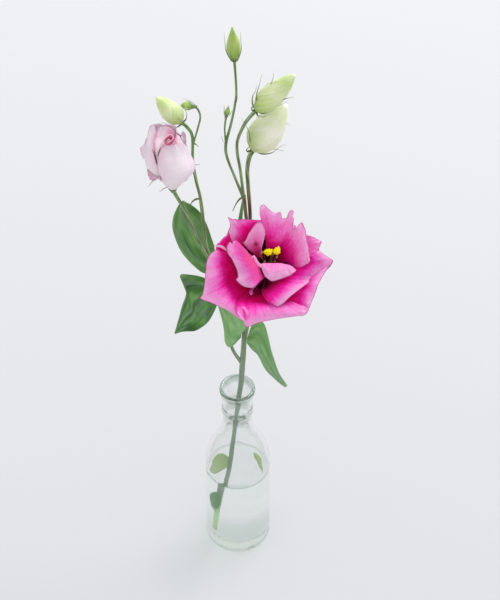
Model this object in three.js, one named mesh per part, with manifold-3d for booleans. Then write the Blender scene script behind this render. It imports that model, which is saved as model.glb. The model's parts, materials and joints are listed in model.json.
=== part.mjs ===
import * as THREE from 'three';
import { mergeVertices } from 'three/addons/utils/BufferGeometryUtils.js';
import Module from 'manifold-3d';

// A lisianthus spray standing in a small clear glass bottle of water.
// Millimetres, +Z up, origin in the middle of the bottle's flat foot, front towards -Y.

// Bottle and water
const BOTTLE_HEIGHT = 144;
const BODY_RADIUS = 20;
const RIM_RADIUS = 10.9;
const NECK_RADIUS = 8.7;
const WALL = 1.8;
const FOOT_THICKNESS = 9;
const WATER_LEVEL = 66;
const TURNED_SEGMENTS = 28;

// Plant
const STEM_RADIUS = 1.45;
const STUB_RADIUS = 0.9;
const BRANCH_RADIUS = 1;
const PETAL = 0.65;
const LEAF = 0.7;
const SEPAL = 0.62;
const FLOWER_TILT = 50;
const FLOWER_CENTRE = [16.6, -14, 271];
const PALE_FOOT = [-35.5, 13.8, 304.9];
const PALE_AXIS = [-0.04, 0.05, 1];

// Clearance between pieces that touch or rest on one another
const GAP = 0.3;

const wasm = await Module();
wasm.setup();
const { Manifold } = wasm;
const group = new THREE.Group();
group.name = 'lisianthus_in_bottle';

// Finishes
const plain = (color, roughness) => new THREE.MeshStandardMaterial({ color, roughness });
const clear = (color, opacity) =>
  new THREE.MeshStandardMaterial({ color, roughness: 0.03, transparent: true, opacity });
const glass = clear(0xdfe9e6, 0.35);
const clearWater = clear(0xd6e6e4, 0.4);
const stemGreen = plain(0x7d9150, 0.5);
const leafGreen = plain(0x4f8750, 0.45);
const magenta = plain(0xd0409a, 0.65);
const palePink = plain(0xe9cdda, 0.65);
const budGreen = plain(0xb9cf7e, 0.5);
const creamGreen = plain(0xd3ddae, 0.5);
const pistilGreen = plain(0xa9b860, 0.5);
const yellow = plain(0xf2dc1e, 0.7);

// Numbers and points
const vector = (point) => new THREE.Vector3(...point);
const smooth = (points) => new THREE.CatmullRomCurve3(points.map(vector), false, 'catmullrom', 0.5);

// A value read from a short list of even steps, t running from 0 to 1 along it
function blend(list, t) {
  const x = t * (list.length - 1);
  const i = Math.min(Math.floor(x), list.length - 2);
  return THREE.MathUtils.lerp(list[i], list[i + 1], x - i);
}

function polar(radius, degrees, z) {
  const a = THREE.MathUtils.degToRad(degrees);
  return new THREE.Vector3(radius * Math.cos(a), radius * Math.sin(a), z);
}

// A frame that stands at a point with its own Z along an axis
function standing(origin, axis) {
  const up = new THREE.Vector3(0, 0, 1);
  const turn = new THREE.Quaternion().setFromUnitVectors(up, vector(axis).normalize());
  return new THREE.Matrix4().compose(vector(origin), turn, new THREE.Vector3(1, 1, 1));
}

// Closed solids from points and triangles, or from a closed three.js geometry
function solidOf(points, triangles) {
  return new Manifold(new wasm.Mesh({
    numProp: 3,
    vertProperties: new Float32Array(points.flatMap((p) => [p.x, p.y, p.z])),
    triVerts: new Uint32Array(triangles.flat()),
  }));
}

function solidFrom(geometry) {
  geometry.deleteAttribute('normal');
  geometry.deleteAttribute('uv');
  const merged = mergeVertices(geometry, 1e-4);
  return new Manifold(new wasm.Mesh({
    numProp: 3,
    vertProperties: merged.attributes.position.array,
    triVerts: new Uint32Array(merged.index.array),
  }));
}

const placed = (solid, frame) => solid.transform([...frame.elements]);

// One connected body with no closed-off hollow: the largest shell of a union
function fuse(solids) {
  const shells = Manifold.union(solids).simplify(0.08).decompose();
  return shells.reduce((a, b) => (a.volume() > b.volume() ? a : b));
}

function add(name, solid, material) {
  const { vertProperties, triVerts } = solid.getMesh();
  const geometry = new THREE.BufferGeometry();
  geometry.setAttribute('position', new THREE.Float32BufferAttribute(vertProperties, 3));
  geometry.setIndex([...triVerts]);
  geometry.computeVertexNormals();
  const mesh = new THREE.Mesh(geometry, material);
  mesh.name = name;
  group.add(mesh);
}

// A closed body through rings of points, with a fan over each end
function loft(rings) {
  const n = rings[0].length;
  const last = (rings.length - 1) * n;
  const middle = (ring) => ring.reduce((sum, p) => sum.add(p), new THREE.Vector3()).divideScalar(n);
  const points = [...rings.flat(), middle(rings[0]), middle(rings.at(-1))];
  const triangles = [];
  for (let i = 0; i < last; i += n) {
    for (let j = 0; j < n; j++) {
      const a = i + j;
      const b = i + ((j + 1) % n);
      triangles.push([a, b, b + n], [a, b + n, a + n]);
    }
  }
  for (let j = 0; j < n; j++) {
    const k = (j + 1) % n;
    triangles.push([points.length - 2, k, j], [points.length - 1, last + j, last + k]);
  }
  return solidOf(points, triangles);
}

// A round stalk along a smooth line, its radius blended from foot to tip
function stalk(points, radii, steps, sides = 6) {
  const line = smooth(points);
  const frames = line.computeFrenetFrames(steps, false);
  const rings = [];
  for (let i = 0; i <= steps; i++) {
    const centre = line.getPointAt(i / steps);
    const radius = blend(radii, i / steps);
    rings.push(Array.from({ length: sides }, (_, j) => {
      const a = (2 * Math.PI * j) / sides;
      return centre.clone()
        .addScaledVector(frames.normals[i], radius * Math.cos(a))
        .addScaledVector(frames.binormals[i], radius * Math.sin(a));
    }));
  }
  return loft(rings);
}

// Both faces of a grid of points, half a thickness to either side and split alike, joined round the rim
function thicken(grid, thickness) {
  const rows = grid.length - 1;
  const columns = grid[0].length - 1;
  const at = (i, j) => grid[THREE.MathUtils.clamp(i, 0, rows)][THREE.MathUtils.clamp(j, 0, columns)];
  const front = [];
  const back = [];
  for (let i = 0; i <= rows; i++) {
    for (let j = 0; j <= columns; j++) {
      const across = at(i, j + 1).clone().sub(at(i, j - 1));
      const along = at(i + 1, j).clone().sub(at(i - 1, j));
      const face = across.cross(along).normalize();
      front.push(grid[i][j].clone().addScaledVector(face, thickness / 2));
      back.push(grid[i][j].clone().addScaledVector(face, -thickness / 2));
    }
  }
  const n = front.length;
  const id = (i, j) => i * (columns + 1) + j;
  const triangles = [];
  for (let i = 0; i < rows; i++) {
    for (let j = 0; j < columns; j++) {
      const [a, b, c, d] = [id(i, j), id(i, j + 1), id(i + 1, j + 1), id(i + 1, j)];
      triangles.push([a, b, c], [a, c, d], [c + n, b + n, a + n], [d + n, c + n, a + n]);
    }
  }
  const rim = [];
  for (let j = 0; j < columns; j++) rim.push(id(0, j));
  for (let i = 0; i < rows; i++) rim.push(id(i, columns));
  for (let j = columns; j > 0; j--) rim.push(id(rows, j));
  for (let i = rows; i > 0; i--) rim.push(id(i, 0));
  rim.forEach((a, k) => {
    const b = rim[(k + 1) % rim.length];
    triangles.push([b, a, a + n], [b, a + n, b + n]);
  });
  return solidOf([...front, ...back], triangles);
}

// A petal or leaf between two margins that run from its foot to its tip, seen from its face with
// the tip away: belly bows it towards the face, wave ruffles the margins and tip rounds its end
function blade({ left, right, belly = [0, 0], wave = [0, 0, 0], tip = 0 }, rows, columns, thickness) {
  const [height, turns, start] = wave;
  const leftLine = smooth(left);
  const rightLine = smooth(right);
  const grid = [];
  for (let i = 0; i <= rows; i++) {
    const t = i / rows;
    const a = leftLine.getPoint(t);
    const b = rightLine.getPoint(t);
    const along = leftLine.getTangent(t).add(rightLine.getTangent(t)).normalize();
    const face = b.clone().sub(a).cross(along).normalize();
    grid.push(Array.from({ length: columns + 1 }, (_, j) => {
      const side = (2 * j) / columns - 1;
      const bow = blend(belly, t) * (1 - side * side);
      const ruffle = height * t * side * side * Math.sin(2 * Math.PI * turns * t + start + 2 * side);
      return a.clone().lerp(b, j / columns)
        .addScaledVector(face, bow + ruffle)
        .addScaledVector(along, tip * t ** 3 * (1 - side * side));
    }));
  }
  return thicken(grid, thickness);
}

// Bottle: one turned wall with a thick flat foot, round shoulders and a tall flared mouth
const outside = [
  [BODY_RADIUS - 3, 0], [BODY_RADIUS - 0.9, 0.9], [BODY_RADIUS, 3], [BODY_RADIUS, 74],
  [BODY_RADIUS - 0.7, 81], [BODY_RADIUS - 2.6, 88], [BODY_RADIUS - 5.6, 94], [12, 99], [10, 105],
  [NECK_RADIUS, 117], [NECK_RADIUS + 0.6, 127], [RIM_RADIUS - 1.2, 134], [RIM_RADIUS - 0.3, 140],
  [RIM_RADIUS, 142], [RIM_RADIUS - 0.6, BOTTLE_HEIGHT - 0.5], [RIM_RADIUS - 1.5, BOTTLE_HEIGHT],
];
const inside = [
  [RIM_RADIUS - 2.4, BOTTLE_HEIGHT - 0.5], [RIM_RADIUS - 3, 142], [RIM_RADIUS - 3.3, 134],
  [NECK_RADIUS - WALL, 122], [NECK_RADIUS - WALL, 116], [8.2, 104], [11, 98], [14.2, 91.5],
  [16.6, 86], [17.8, 80], [BODY_RADIUS - WALL, 73], [BODY_RADIUS - WALL, FOOT_THICKNESS + 4],
  [BODY_RADIUS - 3.2, FOOT_THICKNESS + 1.2], [BODY_RADIUS - 6, FOOT_THICKNESS],
];

function turned(profile) {
  const points = profile.map(([radius, z]) => new THREE.Vector2(radius, z));
  return solidFrom(new THREE.LatheGeometry(points, TURNED_SEGMENTS).rotateX(Math.PI / 2));
}

add('bottle', turned([[0, 0], ...outside, ...inside, [0, FOOT_THICKNESS]]), glass);

// Main stem, from the foot of the bottle to the fork behind the open flower
const mainStem = [
  [-11, -5.5, 12], [-8, -3, 40], [-5, -0.2, 66], [-2, 2.6, 98], [0.6, 4.6, 126], [2.2, 5.4, 140],
  [3, 7, 155], [4, 10, 173], [5, 15, 207], [6, 20, 235], [6.5, 23, 251],
];
const cutStub = [[-9.2, -4, 30], [-12, -5, 33], [-13.5, -6, 37]];

// Branches and flower stalks, each rooted a little way inside what it grows from
const branches = {
  left: {
    line: [[2.9, 7.3, 157], [-3.3, 8, 172], [-7.6, 9, 200], [-11, 12, 219.5], [-14.3, 15, 241]],
    radii: [BRANCH_RADIUS, 0.95],
  },
  middle: {
    line: [[6.3, 22, 246], [6.6, 23.5, 253], [5.5, 26, 265.6], [4, 29, 282]],
    radii: [1.3, 1.1],
  },
  toLowerRightBud: {
    line: [[6.3, 22, 246], [7.7, 27, 264.5], [6.5, 32, 288], [6.1, 35, 298], [7.3, 37, 306],
      [9.4, 38.4, 310]],
    radii: [1.1, 1.1, 1.2],
  },
  toUpperRightBud: {
    line: [[4.1, 28.6, 280], [2.2, 31, 300.7], [0.5, 32, 314.5], [0.7, 32, 325], [4, 31, 337.6],
      [7.3, 30.5, 345], [11, 30, 351.5]],
    radii: [0.9, 0.9, 0.95],
  },
  toTopBud: {
    line: [[4.1, 28.6, 280], [-1.5, 31, 297.4], [-5.3, 34, 309], [-5.9, 36, 317.6], [-3, 39, 330.7],
      [-0.7, 43, 342.6], [0, 46, 350.7], [-1, 50, 368.7]],
    radii: [0.9, 0.75, 0.75],
  },
  toTinyBud: {
    line: [[-5.9, 36, 316], [-6.5, 38, 328.6], [-5.6, 39.6, 336.5]],
    radii: [0.6, 0.6],
  },
  toPaleFlower: {
    line: [[-14, 14.7, 239], [-20.6, 16, 254.5], [-24.5, 17, 267], [-28.9, 17, 282.6], [-33.4, 16, 295.5],
      [-35.4, 14, 304]],
    radii: [1, 0.95, 1.1],
  },
  toLeftBud: {
    line: [[-14, 14.7, 239], [-17.3, 18, 251.3], [-18.7, 21, 265.3], [-20.4, 24, 285], [-22.8, 26, 298.7],
      [-24.5, 29, 312], [-24.5, 33, 326.6], [-27.2, 35.5, 331.6], [-30.2, 35.9, 334.9]],
    radii: [1, 0.95, 0.9],
  },
  toSmallLeftBud: {
    line: [[-24.4, 31.6, 321], [-21.5, 32.5, 333.6], [-19.9, 33, 342.7], [-21.3, 33, 349.1],
      [-23.5, 32.1, 352]],
    radii: [0.65, 0.6],
  },
  toOpenFlower: {
    line: [[3.9, 9.8, 172], [8, 11, 200], [13, 13, 222], [17, 11.5, 238], [18.1, 6.3, 245.2]],
    radii: [1.2, 1.1, 1.3],
  },
};
const greenPieces = [
  stalk(mainStem, [STEM_RADIUS, STEM_RADIUS, 1.3], 16),
  stalk(cutStub, [STUB_RADIUS, 0.8], 4),
  ...Object.values(branches).map(({ line, radii }) => stalk(line, radii, Math.round(1.4 * line.length), 5)),
];

// Water: fills the bottle's body, with plain holes where the stem and its cut stub stand
const waterSide = [
  [BODY_RADIUS - 6 - GAP, FOOT_THICKNESS + GAP], [BODY_RADIUS - 3.2 - GAP, FOOT_THICKNESS + 1.2 + GAP],
  [BODY_RADIUS - WALL - GAP, FOOT_THICKNESS + 4], [BODY_RADIUS - WALL - GAP, WATER_LEVEL],
];
const holeGap = 1.5 * GAP;
const stemHole = stalk([[-11.1, -5.6, 11.3], ...mainStem.slice(0, 5)],
  [STEM_RADIUS + holeGap, STEM_RADIUS + holeGap], 14, 10);
const stubHole = stalk([...cutStub, [-13.8, -6.2, 37.8]], [STUB_RADIUS + holeGap, 0.8 + holeGap], 5, 8);
const waterBlock = turned([[0, FOOT_THICKNESS + GAP], ...waterSide, [0, WATER_LEVEL]]);
add('water', waterBlock.subtract(fuse([stemHole, stubHole])), clearWater);

// A flower's green foot, widening from its stalk to the seat of the petals
const greenFoot = (frame, radii, top) =>
  placed(stalk([[0, 0, top - 3], [0, 0, top - 1.4], [0, 0, top]], radii, 2), frame);

// Narrow sepals round a flower's foot, bowing clear of it and ending in fine points
function sepals(frame, foot, { count = 5, length, clear: away, spread, width = 1.3, turn = 0 }) {
  return Array.from({ length: count }, (_, k) => {
    const a = turn + (360 * k) / count;
    const reach = length * (0.85 + 0.15 * Math.sin(3 * k + turn));
    const line = [
      polar(foot * 0.6, a, -1.3), polar(away * 0.7, a, -0.8), polar(away + 0.6, a + 3, reach * 0.28),
      polar(away + 0.5 + spread, a + 6, reach * 0.65), polar(away + 1.6 * spread, a + 8, reach),
    ].map((p) => p.applyMatrix4(frame));
    const side = polar(width, a + 90, 0).transformDirection(frame).multiplyScalar(width);
    const half = [0.5, 0.5, 0.42, 0.3, 0.2];
    const margin = (sign) => line.map((p, i) => p.clone().addScaledVector(side, sign * half[i]).toArray());
    return blade({ left: margin(1), right: margin(-1) }, 3, 1, SEPAL);
  });
}

// Buds: petals furled round each other, a spindle with a step at every petal's edge
const slimBud = [0.42, 0.8, 0.98, 1, 0.9, 0.72, 0.5, 0.28, 0.1];
const fullBud = [0.34, 0.78, 0.97, 1, 0.95, 0.83, 0.66, 0.44, 0.2];

function furledBud(length, radius, form) {
  const [wraps, twist, step] = [5, 150, 0.12];
  const [rows, sides] = radius > 3 ? [8, 15] : [4, 8];
  const rings = [];
  for (let i = 0; i <= rows; i++) {
    const t = i / rows;
    rings.push(Array.from({ length: sides }, (_, j) => {
      const degrees = (360 * j) / sides;
      const phase = THREE.MathUtils.euclideanModulo(((degrees - twist * t) * wraps) / 360, 1);
      const r = radius * blend(form, t) * (1 + step * (phase - 0.5) * Math.sin(Math.PI * t));
      return polar(r, degrees, length * t);
    }));
  }
  return loft(rings);
}

const buds = {
  bud_top: {
    foot: [-1.05, 50.2, 369.4], axis: [-0.05, 0.12, 1], length: 23.5, radius: 3.7, form: slimBud,
    seat: 1.5, sepals: { length: 15, clear: 4.2, spread: 0.3, turn: 20, width: 1.1 },
  },
  bud_left: {
    foot: [-31, 36, 335.9], axis: [-0.57, 0.04, 0.82], length: 22.5, radius: 5.6, form: fullBud,
    seat: 1.7, sepals: { length: 12, clear: 5.9, spread: 1.6, turn: 10 },
  },
  bud_small_left: {
    foot: [-24.2, 31.9, 352.5], axis: [-0.86, -0.1, 0.2], length: 6.6, radius: 2.5, form: fullBud,
    seat: 1.1, sepals: { count: 3, length: 6, clear: 2.6, spread: 0.8, turn: 45, width: 1 },
  },
  bud_tiny: {
    foot: [-5.45, 39.9, 337.2], axis: [0.18, 0.12, 0.95], length: 6.4, radius: 1.5, form: slimBud,
    seat: 0.9, sepals: { count: 3, length: 8, clear: 1.8, spread: 1, turn: 80, width: 1 },
  },
  bud_upper_right: {
    foot: [11.7, 29.9, 352.2], axis: [0.574, -0.05, 0.82], length: 35, radius: 6.6, form: fullBud,
    seat: 1.8, sepals: { length: 15, clear: 6.9, spread: 2, turn: 65 },
  },
  bud_lower_right: {
    foot: [9.9, 38.8, 311.2], axis: [0.465, 0.03, 0.885], length: 38, radius: 9.4, form: fullBud,
    seat: 2, cream: true, sepals: { length: 17, clear: 9.9, spread: 2.6, turn: 15 },
  },
};
for (const [name, bud] of Object.entries(buds)) {
  const frame = standing(bud.foot, bud.axis);
  const body = furledBud(bud.length, bud.radius, bud.form);
  add(name, placed(body, frame), bud.cream ? creamGreen : budGreen);
  greenPieces.push(greenFoot(frame, [0.7, bud.seat * 0.7, bud.seat], -GAP));
  greenPieces.push(...sepals(frame, bud.seat, bud.sepals));
}

// Open flower, drawn facing its own +Z: X runs right, Y up its face, and it looks to the front and up
const tilt = THREE.MathUtils.degToRad(FLOWER_TILT);
const flowerFrame = new THREE.Matrix4().makeBasis(
  new THREE.Vector3(1, 0, 0),
  new THREE.Vector3(0, Math.sin(tilt), Math.cos(tilt)),
  new THREE.Vector3(0, -Math.cos(tilt), Math.sin(tilt)),
).setPosition(...FLOWER_CENTRE);

const petals = {
  upperLeft: {
    left: [[-2, 4, -27], [-12, 10, -14], [-18.5, 15, -7], [-20, 21, -2], [-21, 26.8, 2]],
    right: [[0, 4, -27], [0, 12, -14], [1, 18, -8], [0, 23, -4], [-3, 25.9, 0]],
    belly: [0, -2, -2, -1, 0], tip: -0.6,
  },
  leftShoulder: {
    left: [[-1, 0, -27], [-13, -1, -16], [-21, 3, -10], [-26, 7.5, -5], [-29.6, 11.3, -2]],
    right: [[-2, 2, -27], [-12, 8, -15], [-17, 13, -8], [-21, 17.5, -4], [-29.2, 12.2, -2]],
    belly: [0, -1, -1, 0, 0],
  },
  left: {
    left: [[0, -1, -28], [-8, -15, -11], [-12.5, -23.5, -3], [-18, -26.5, -2], [-28, -22.5, -3],
      [-36.4, -19, -4]],
    right: [[-1, 1, -28], [-22, 7, -8], [-27.5, 9.4, 0], [-33.5, 1, 0], [-35.2, -9, -2], [-37, -18, -4]],
    belly: [0, -5, 1, 2, 1, 0],
  },
  bottom: {
    left: [[2, -3, -28], [9, -9, -14], [18, -16, -6], [23.5, -21, -2], [24.5, -25, -1], [21.3, -28, -3]],
    right: [[-1, -3, -28], [-9, -10, -13], [-14, -18, -4], [-16, -24.5, 1.5], [-14.5, -30, 2.5],
      [-11.2, -34.1, 0]],
    belly: [0, -2, -1, 2, 2, 0],
  },
  lowerRight: {
    left: [[3, 0, -28], [14, 5, -15], [22, 8, -7], [30, 7.5, -3], [37.5, 3, -3]],
    right: [[2, -2, -28], [9, -9, -15], [15, -15, -8], [21, -20, -5], [24.2, -23.9, -4]],
    belly: [0, -3, 0, 2, 0], tip: -0.8,
  },
  fold: {
    left: [[3, -1, -26], [14, 0, -11], [22, 3, -3], [25, -1, 1.5], [26, -7.5, 1.5]],
    right: [[1, -3, -26], [0, -10, -12], [-1, -15.5, -4], [2, -19.5, 0.5], [6.8, -22.6, 2]],
    belly: [0, -3, 0, 2, 0], tip: 0.6,
  },
  rightCup: {
    left: [[3, 2, -26], [6, 8, -16], [10, 14, -10], [14.5, 19.5, -4], [18.3, 24.3, 1]],
    right: [[4, 0, -26], [13, -1.5, -13], [21, 1, -2], [23.5, 10, 2], [20.5, 23.5, 2]],
    belly: [0, -3, -4, -3, 0],
  },
  rightBack: {
    left: [[4, 3, -28], [13, 10, -16], [19, 15, -10], [23, 18.5, -6], [31.3, 13.8, -4]],
    right: [[4, 1, -28], [15, 4, -16], [22, 5, -10], [27, 6, -6.5], [29.4, 9, -4.5]],
    belly: [0, -1, 0, 1, 0],
  },
  top: {
    left: [[0, 3, -28], [0, 9, -17], [0.6, 15, -10], [-1, 23, -4], [-3.2, 30, 0], [-2, 34, 3]],
    right: [[3, 3, -28], [7, 9, -17], [12, 15, -10], [15, 21, -5], [9, 28.5, -1], [0.5, 34, 3]],
    belly: [0, -2, -3, -2, -1, 0], wave: [0.7, 3, 1],
  },
  topRight: {
    left: [[3, 4, -28], [6, 12, -18], [8, 19, -12], [10, 25.5, -7], [12.9, 30.4, -3]],
    right: [[5, 3, -28], [12, 9, -19], [18, 14, -13.5], [17.5, 21.5, -9], [15.3, 30.3, -3]],
    belly: [0, -1, -2, -2, -1],
  },
  oval: {
    left: [[-3, 1, -25], [-9, 6, -14], [-13.4, 12, -5], [-8.8, 20, 0], [-5, 25.2, 2.5]],
    right: [[0, 2, -25], [-2, 6, -15], [-1, 13, -7], [-0.4, 19.5, -1], [-2.6, 25, 2.5]],
    belly: [0, -1, -1.5, -0.5, 0],
  },
  rolled: {
    left: [[-6, -6, -24], [-14, -9.5, -5], [-16.6, -5, 2], [-18.2, 1, 5], [-20.2, 7, 5], [-21.6, 11.5, 3]],
    right: [[-1, -3, -24], [-2.2, -8, -5], [-3.8, -1.5, 1], [-8, 5, 3], [-13, 9.8, 4], [-16, 14.2, 2]],
    belly: [0, 1, 3, 3, 2, 0.5], tip: 0.5,
  },
  frontLip: {
    left: [[5, -5, -24], [11, -5, -11], [14.4, -1, -2.5], [16.5, -2, 0], [14.5, -4.6, 0.5]],
    right: [[-1, -4, -24], [-2.5, -3, -11], [-2.6, 1, -2.5], [-2.4, 0, 1.5], [-0.6, -6, 1.5]],
    belly: [0, 1, 1, 1.5, 1], tip: 2,
  },
  lipTail: {
    left: [[1, -2, -3], [-2, 0.6, 0], [-5.2, 2, 1], [-7.7, 4.4, 2]],
    right: [[1, 1, -3], [-1.6, 2, 0], [-4.4, 3.4, 1], [-6.9, 5.2, 2]],
  },
  petaloid: {
    left: [[-2, -4, -24], [-6, -11, -14], [-8.5, -13.5, -7], [-6.4, -15.4, -5]],
    right: [[-1, -5, -24], [-4.5, -12, -14], [-7, -14.6, -7], [-5.4, -16, -5]],
  },
};
const fineness = {
  left: [7, 5], bottom: [7, 5], rightCup: [6, 5], top: [7, 5], lipTail: [3, 1], petaloid: [4, 1],
};
const petalBlades = Object.entries(petals)
  .map(([name, margins]) => blade(margins, ...(fineness[name] ?? [5, 4]), PETAL));

// The petals join in a cup, whose hollow holds the pistil
const [throatX, throatY] = [1.5, -1];
const inThroat = (z) => [throatX, throatY, z];
const cup = stalk([inThroat(-31), inThroat(-26.5), inThroat(-22)], [3, 5.6, 7.2], 2, 14);
const style = [inThroat(-27), inThroat(-23), [2, 1, -18], [3, 4.4, -11], [3.6, 6.8, -7]];
const pistilRadii = [2.2, 2.3, 1.1, 0.7, 0.7];
const pistilRoom = stalk([inThroat(-27 - GAP), ...style.slice(1)], pistilRadii.map((r) => r + 0.5), 8, 10);
const openFlower = fuse([fuse([...petalBlades, cup]).subtract(pistilRoom)]);
add('petals_open', placed(openFlower, flowerFrame), magenta);
add('pistil', placed(stalk(style, pistilRadii, 8, 9), flowerFrame), pistilGreen);

// Stigma: two lobes joined by a short bridge that sits over the end of the style
const stigmaLobes = [{ at: [1.4, 7.8, -4.6], turn: 0.3 }, { at: [6.2, 8.6, -4.6], turn: -0.5 }];
const lobes = stigmaLobes.map(({ at, turn }) =>
  solidFrom(new THREE.SphereGeometry(1, 8, 6).scale(2.5, 1.9, 1.5).rotateZ(turn).translate(...at)));
const bridge = stalk([[1.4, 7.8, -5], [3.7, 7.4, -5.6], [6.2, 8.6, -5]], [1, 1], 4);
add('stigma', placed(fuse([...lobes, bridge]), flowerFrame), yellow);

// Green foot of the open flower, its sepals, and the long one whose tip shows past the petals
const flowerSeat = flowerFrame.clone().multiply(new THREE.Matrix4().makeTranslation(throatX, throatY, -31.4));
const longSepal = [[0, 0, -1], [-8, 4, 2], [-19, 9, 10], [-30.6, 13, 20]];
greenPieces.push(greenFoot(flowerSeat, [1.2, 2, 3], 0));
greenPieces.push(...sepals(flowerSeat, 3, { length: 16, clear: 9, spread: 4, width: 1.8, turn: 30 }));
greenPieces.push(placed(blade({
  left: longSepal.map(([x, y, z], i) => [x - 0.3, y - 0.9 + 0.2 * i, z]),
  right: longSepal.map(([x, y, z], i) => [x + 0.3, y + 0.9 - 0.2 * i, z]),
}, 6, 1, SEPAL), flowerSeat));

// Half-open pale flower: petals wrapped round one another, with their angles in degrees from +X
const paleFrame = standing(PALE_FOOT, PALE_AXIS);

function wrapped({ from, to, radii, top, lean, flare = 0, rows = 5, columns = 5 }) {
  const grid = [];
  for (let i = 0; i <= rows; i++) {
    const t = i / rows;
    const span = 1 - 0.55 * (1 - t) ** 3 - 0.25 * t ** 6;
    grid.push(Array.from({ length: columns + 1 }, (_, j) => {
      const side = (2 * j) / columns - 1;
      const radius = blend(radii, t) * (1 + lean * side / 2) + flare * t ** 4 * (1 - side * side);
      const degrees = THREE.MathUtils.lerp(from, to, 0.5 + 0.5 * side * span);
      return polar(radius, degrees, 2 + (top - 2) * t - 0.1 * top * t * side * side);
    }));
  }
  return thicken(grid, PETAL);
}

const palePetals = [
  { from: -130, to: -5, radii: [3, 9.5, 12.6, 13, 11.4, 10.4], top: 36, lean: 0.06, flare: 1, columns: 6 },
  { from: 128, to: 236, radii: [3, 9, 11.6, 12, 11.4, 12.6], top: 37, lean: -0.1, flare: 3.4 },
  { from: 20, to: 140, radii: [3, 8.6, 11.4, 11.8, 10.8, 10.6], top: 40, lean: 0.08, flare: 0.8 },
  { from: -40, to: 60, radii: [3, 8, 10.6, 11, 9.6, 8.8], top: 38.5, lean: -0.08, flare: 0.6 },
  { from: -165, to: -70, radii: [3, 7.6, 9.8, 10.2, 9, 7.8], top: 36.5, lean: 0.14 },
  { from: -70, to: 45, radii: [3, 6.4, 8, 8.2, 7, 6], top: 36, lean: 0.1 },
  { from: 60, to: 190, radii: [3, 6.2, 7.8, 8, 7, 6.4], top: 37, lean: -0.1 },
  { from: 200, to: 430, radii: [2, 3.8, 4.8, 4.8, 4.2, 3.6], top: 34.5, lean: -0.5, columns: 8 },
];
const paleCurl = {
  left: [[4, 6, 24], [8.5, 7, 33], [10.4, 6, 38], [12.6, 4, 38.5], [12.4, 2.4, 34]],
  right: [[6, 4, 24], [10.5, 4.4, 33], [11.5, 3.4, 37], [13.2, 2, 37.5], [13, 0.8, 34.5]],
};
const paleLobe = {
  left: [[-2, -1, 3], [-9, -6.5, 12], [-12.5, -9.5, 19], [-15.2, -10.5, 22], [-15.5, -11.8, 18]],
  right: [[1, -2.5, 3], [-3, -11.5, 12], [-6.5, -14, 18], [-8, -15.5, 20], [-9.5, -15.5, 17]],
  belly: [0, -1, -1, 0, 0],
};
const paleCore = stalk([[0, 0, 0], [0, 0, 4], [0, 0, 9], [0, 0, 15]], [1.8, 6, 8.6, 4], 3, 14);
add('petals_pale', placed(fuse([
  ...palePetals.map(wrapped), blade(paleCurl, 6, 1, PETAL), blade(paleLobe, 5, 3, PETAL), paleCore,
]), paleFrame), palePink);
greenPieces.push(greenFoot(paleFrame, [1, 1.8, 2.5], -GAP));
greenPieces.push(...sepals(paleFrame, 2.4, { length: 4, clear: 8, spread: 3, width: 1.2, turn: 190 }));

// Bracts: narrow leaves at the forks of the upper stems, each a line and the half-width of its foot
const bracts = [
  { line: [[4, 29, 281.6], [1.4, 27.5, 280.6], [-0.6, 26.6, 277.4], [-2.4, 26, 272.4]], half: 1 },
  { line: [[-20.2, 24, 285], [-23, 22, 287], [-25.6, 21, 285], [-27.2, 20.4, 279.4]], half: 0.9 },
  { line: [[-5.6, 36, 316.5], [-7.4, 35.6, 320], [-8.4, 35.4, 324.5]], half: 0.7 },
  { line: [[-24.4, 32, 322], [-22.8, 30.6, 323.4], [-21.4, 29.8, 322]], half: 0.7 },
  { line: [[-0.7, 43, 342.6], [0.2, 42.6, 346], [0.6, 42.6, 349.4]], half: 0.7 },
];

function bract({ line, half }) {
  const width = (i) => half * (i ? 1 - i / line.length : 0.6);
  return blade({
    left: line.map(([x, y, z], i) => [x, y, z + width(i)]),
    right: line.map(([x, y, z], i) => [x + 0.2, y, z - width(i)]),
  }, 6, 1, SEPAL);
}

greenPieces.push(...bracts.map(bract));
add('stems', fuse(greenPieces), stemGreen);

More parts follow.
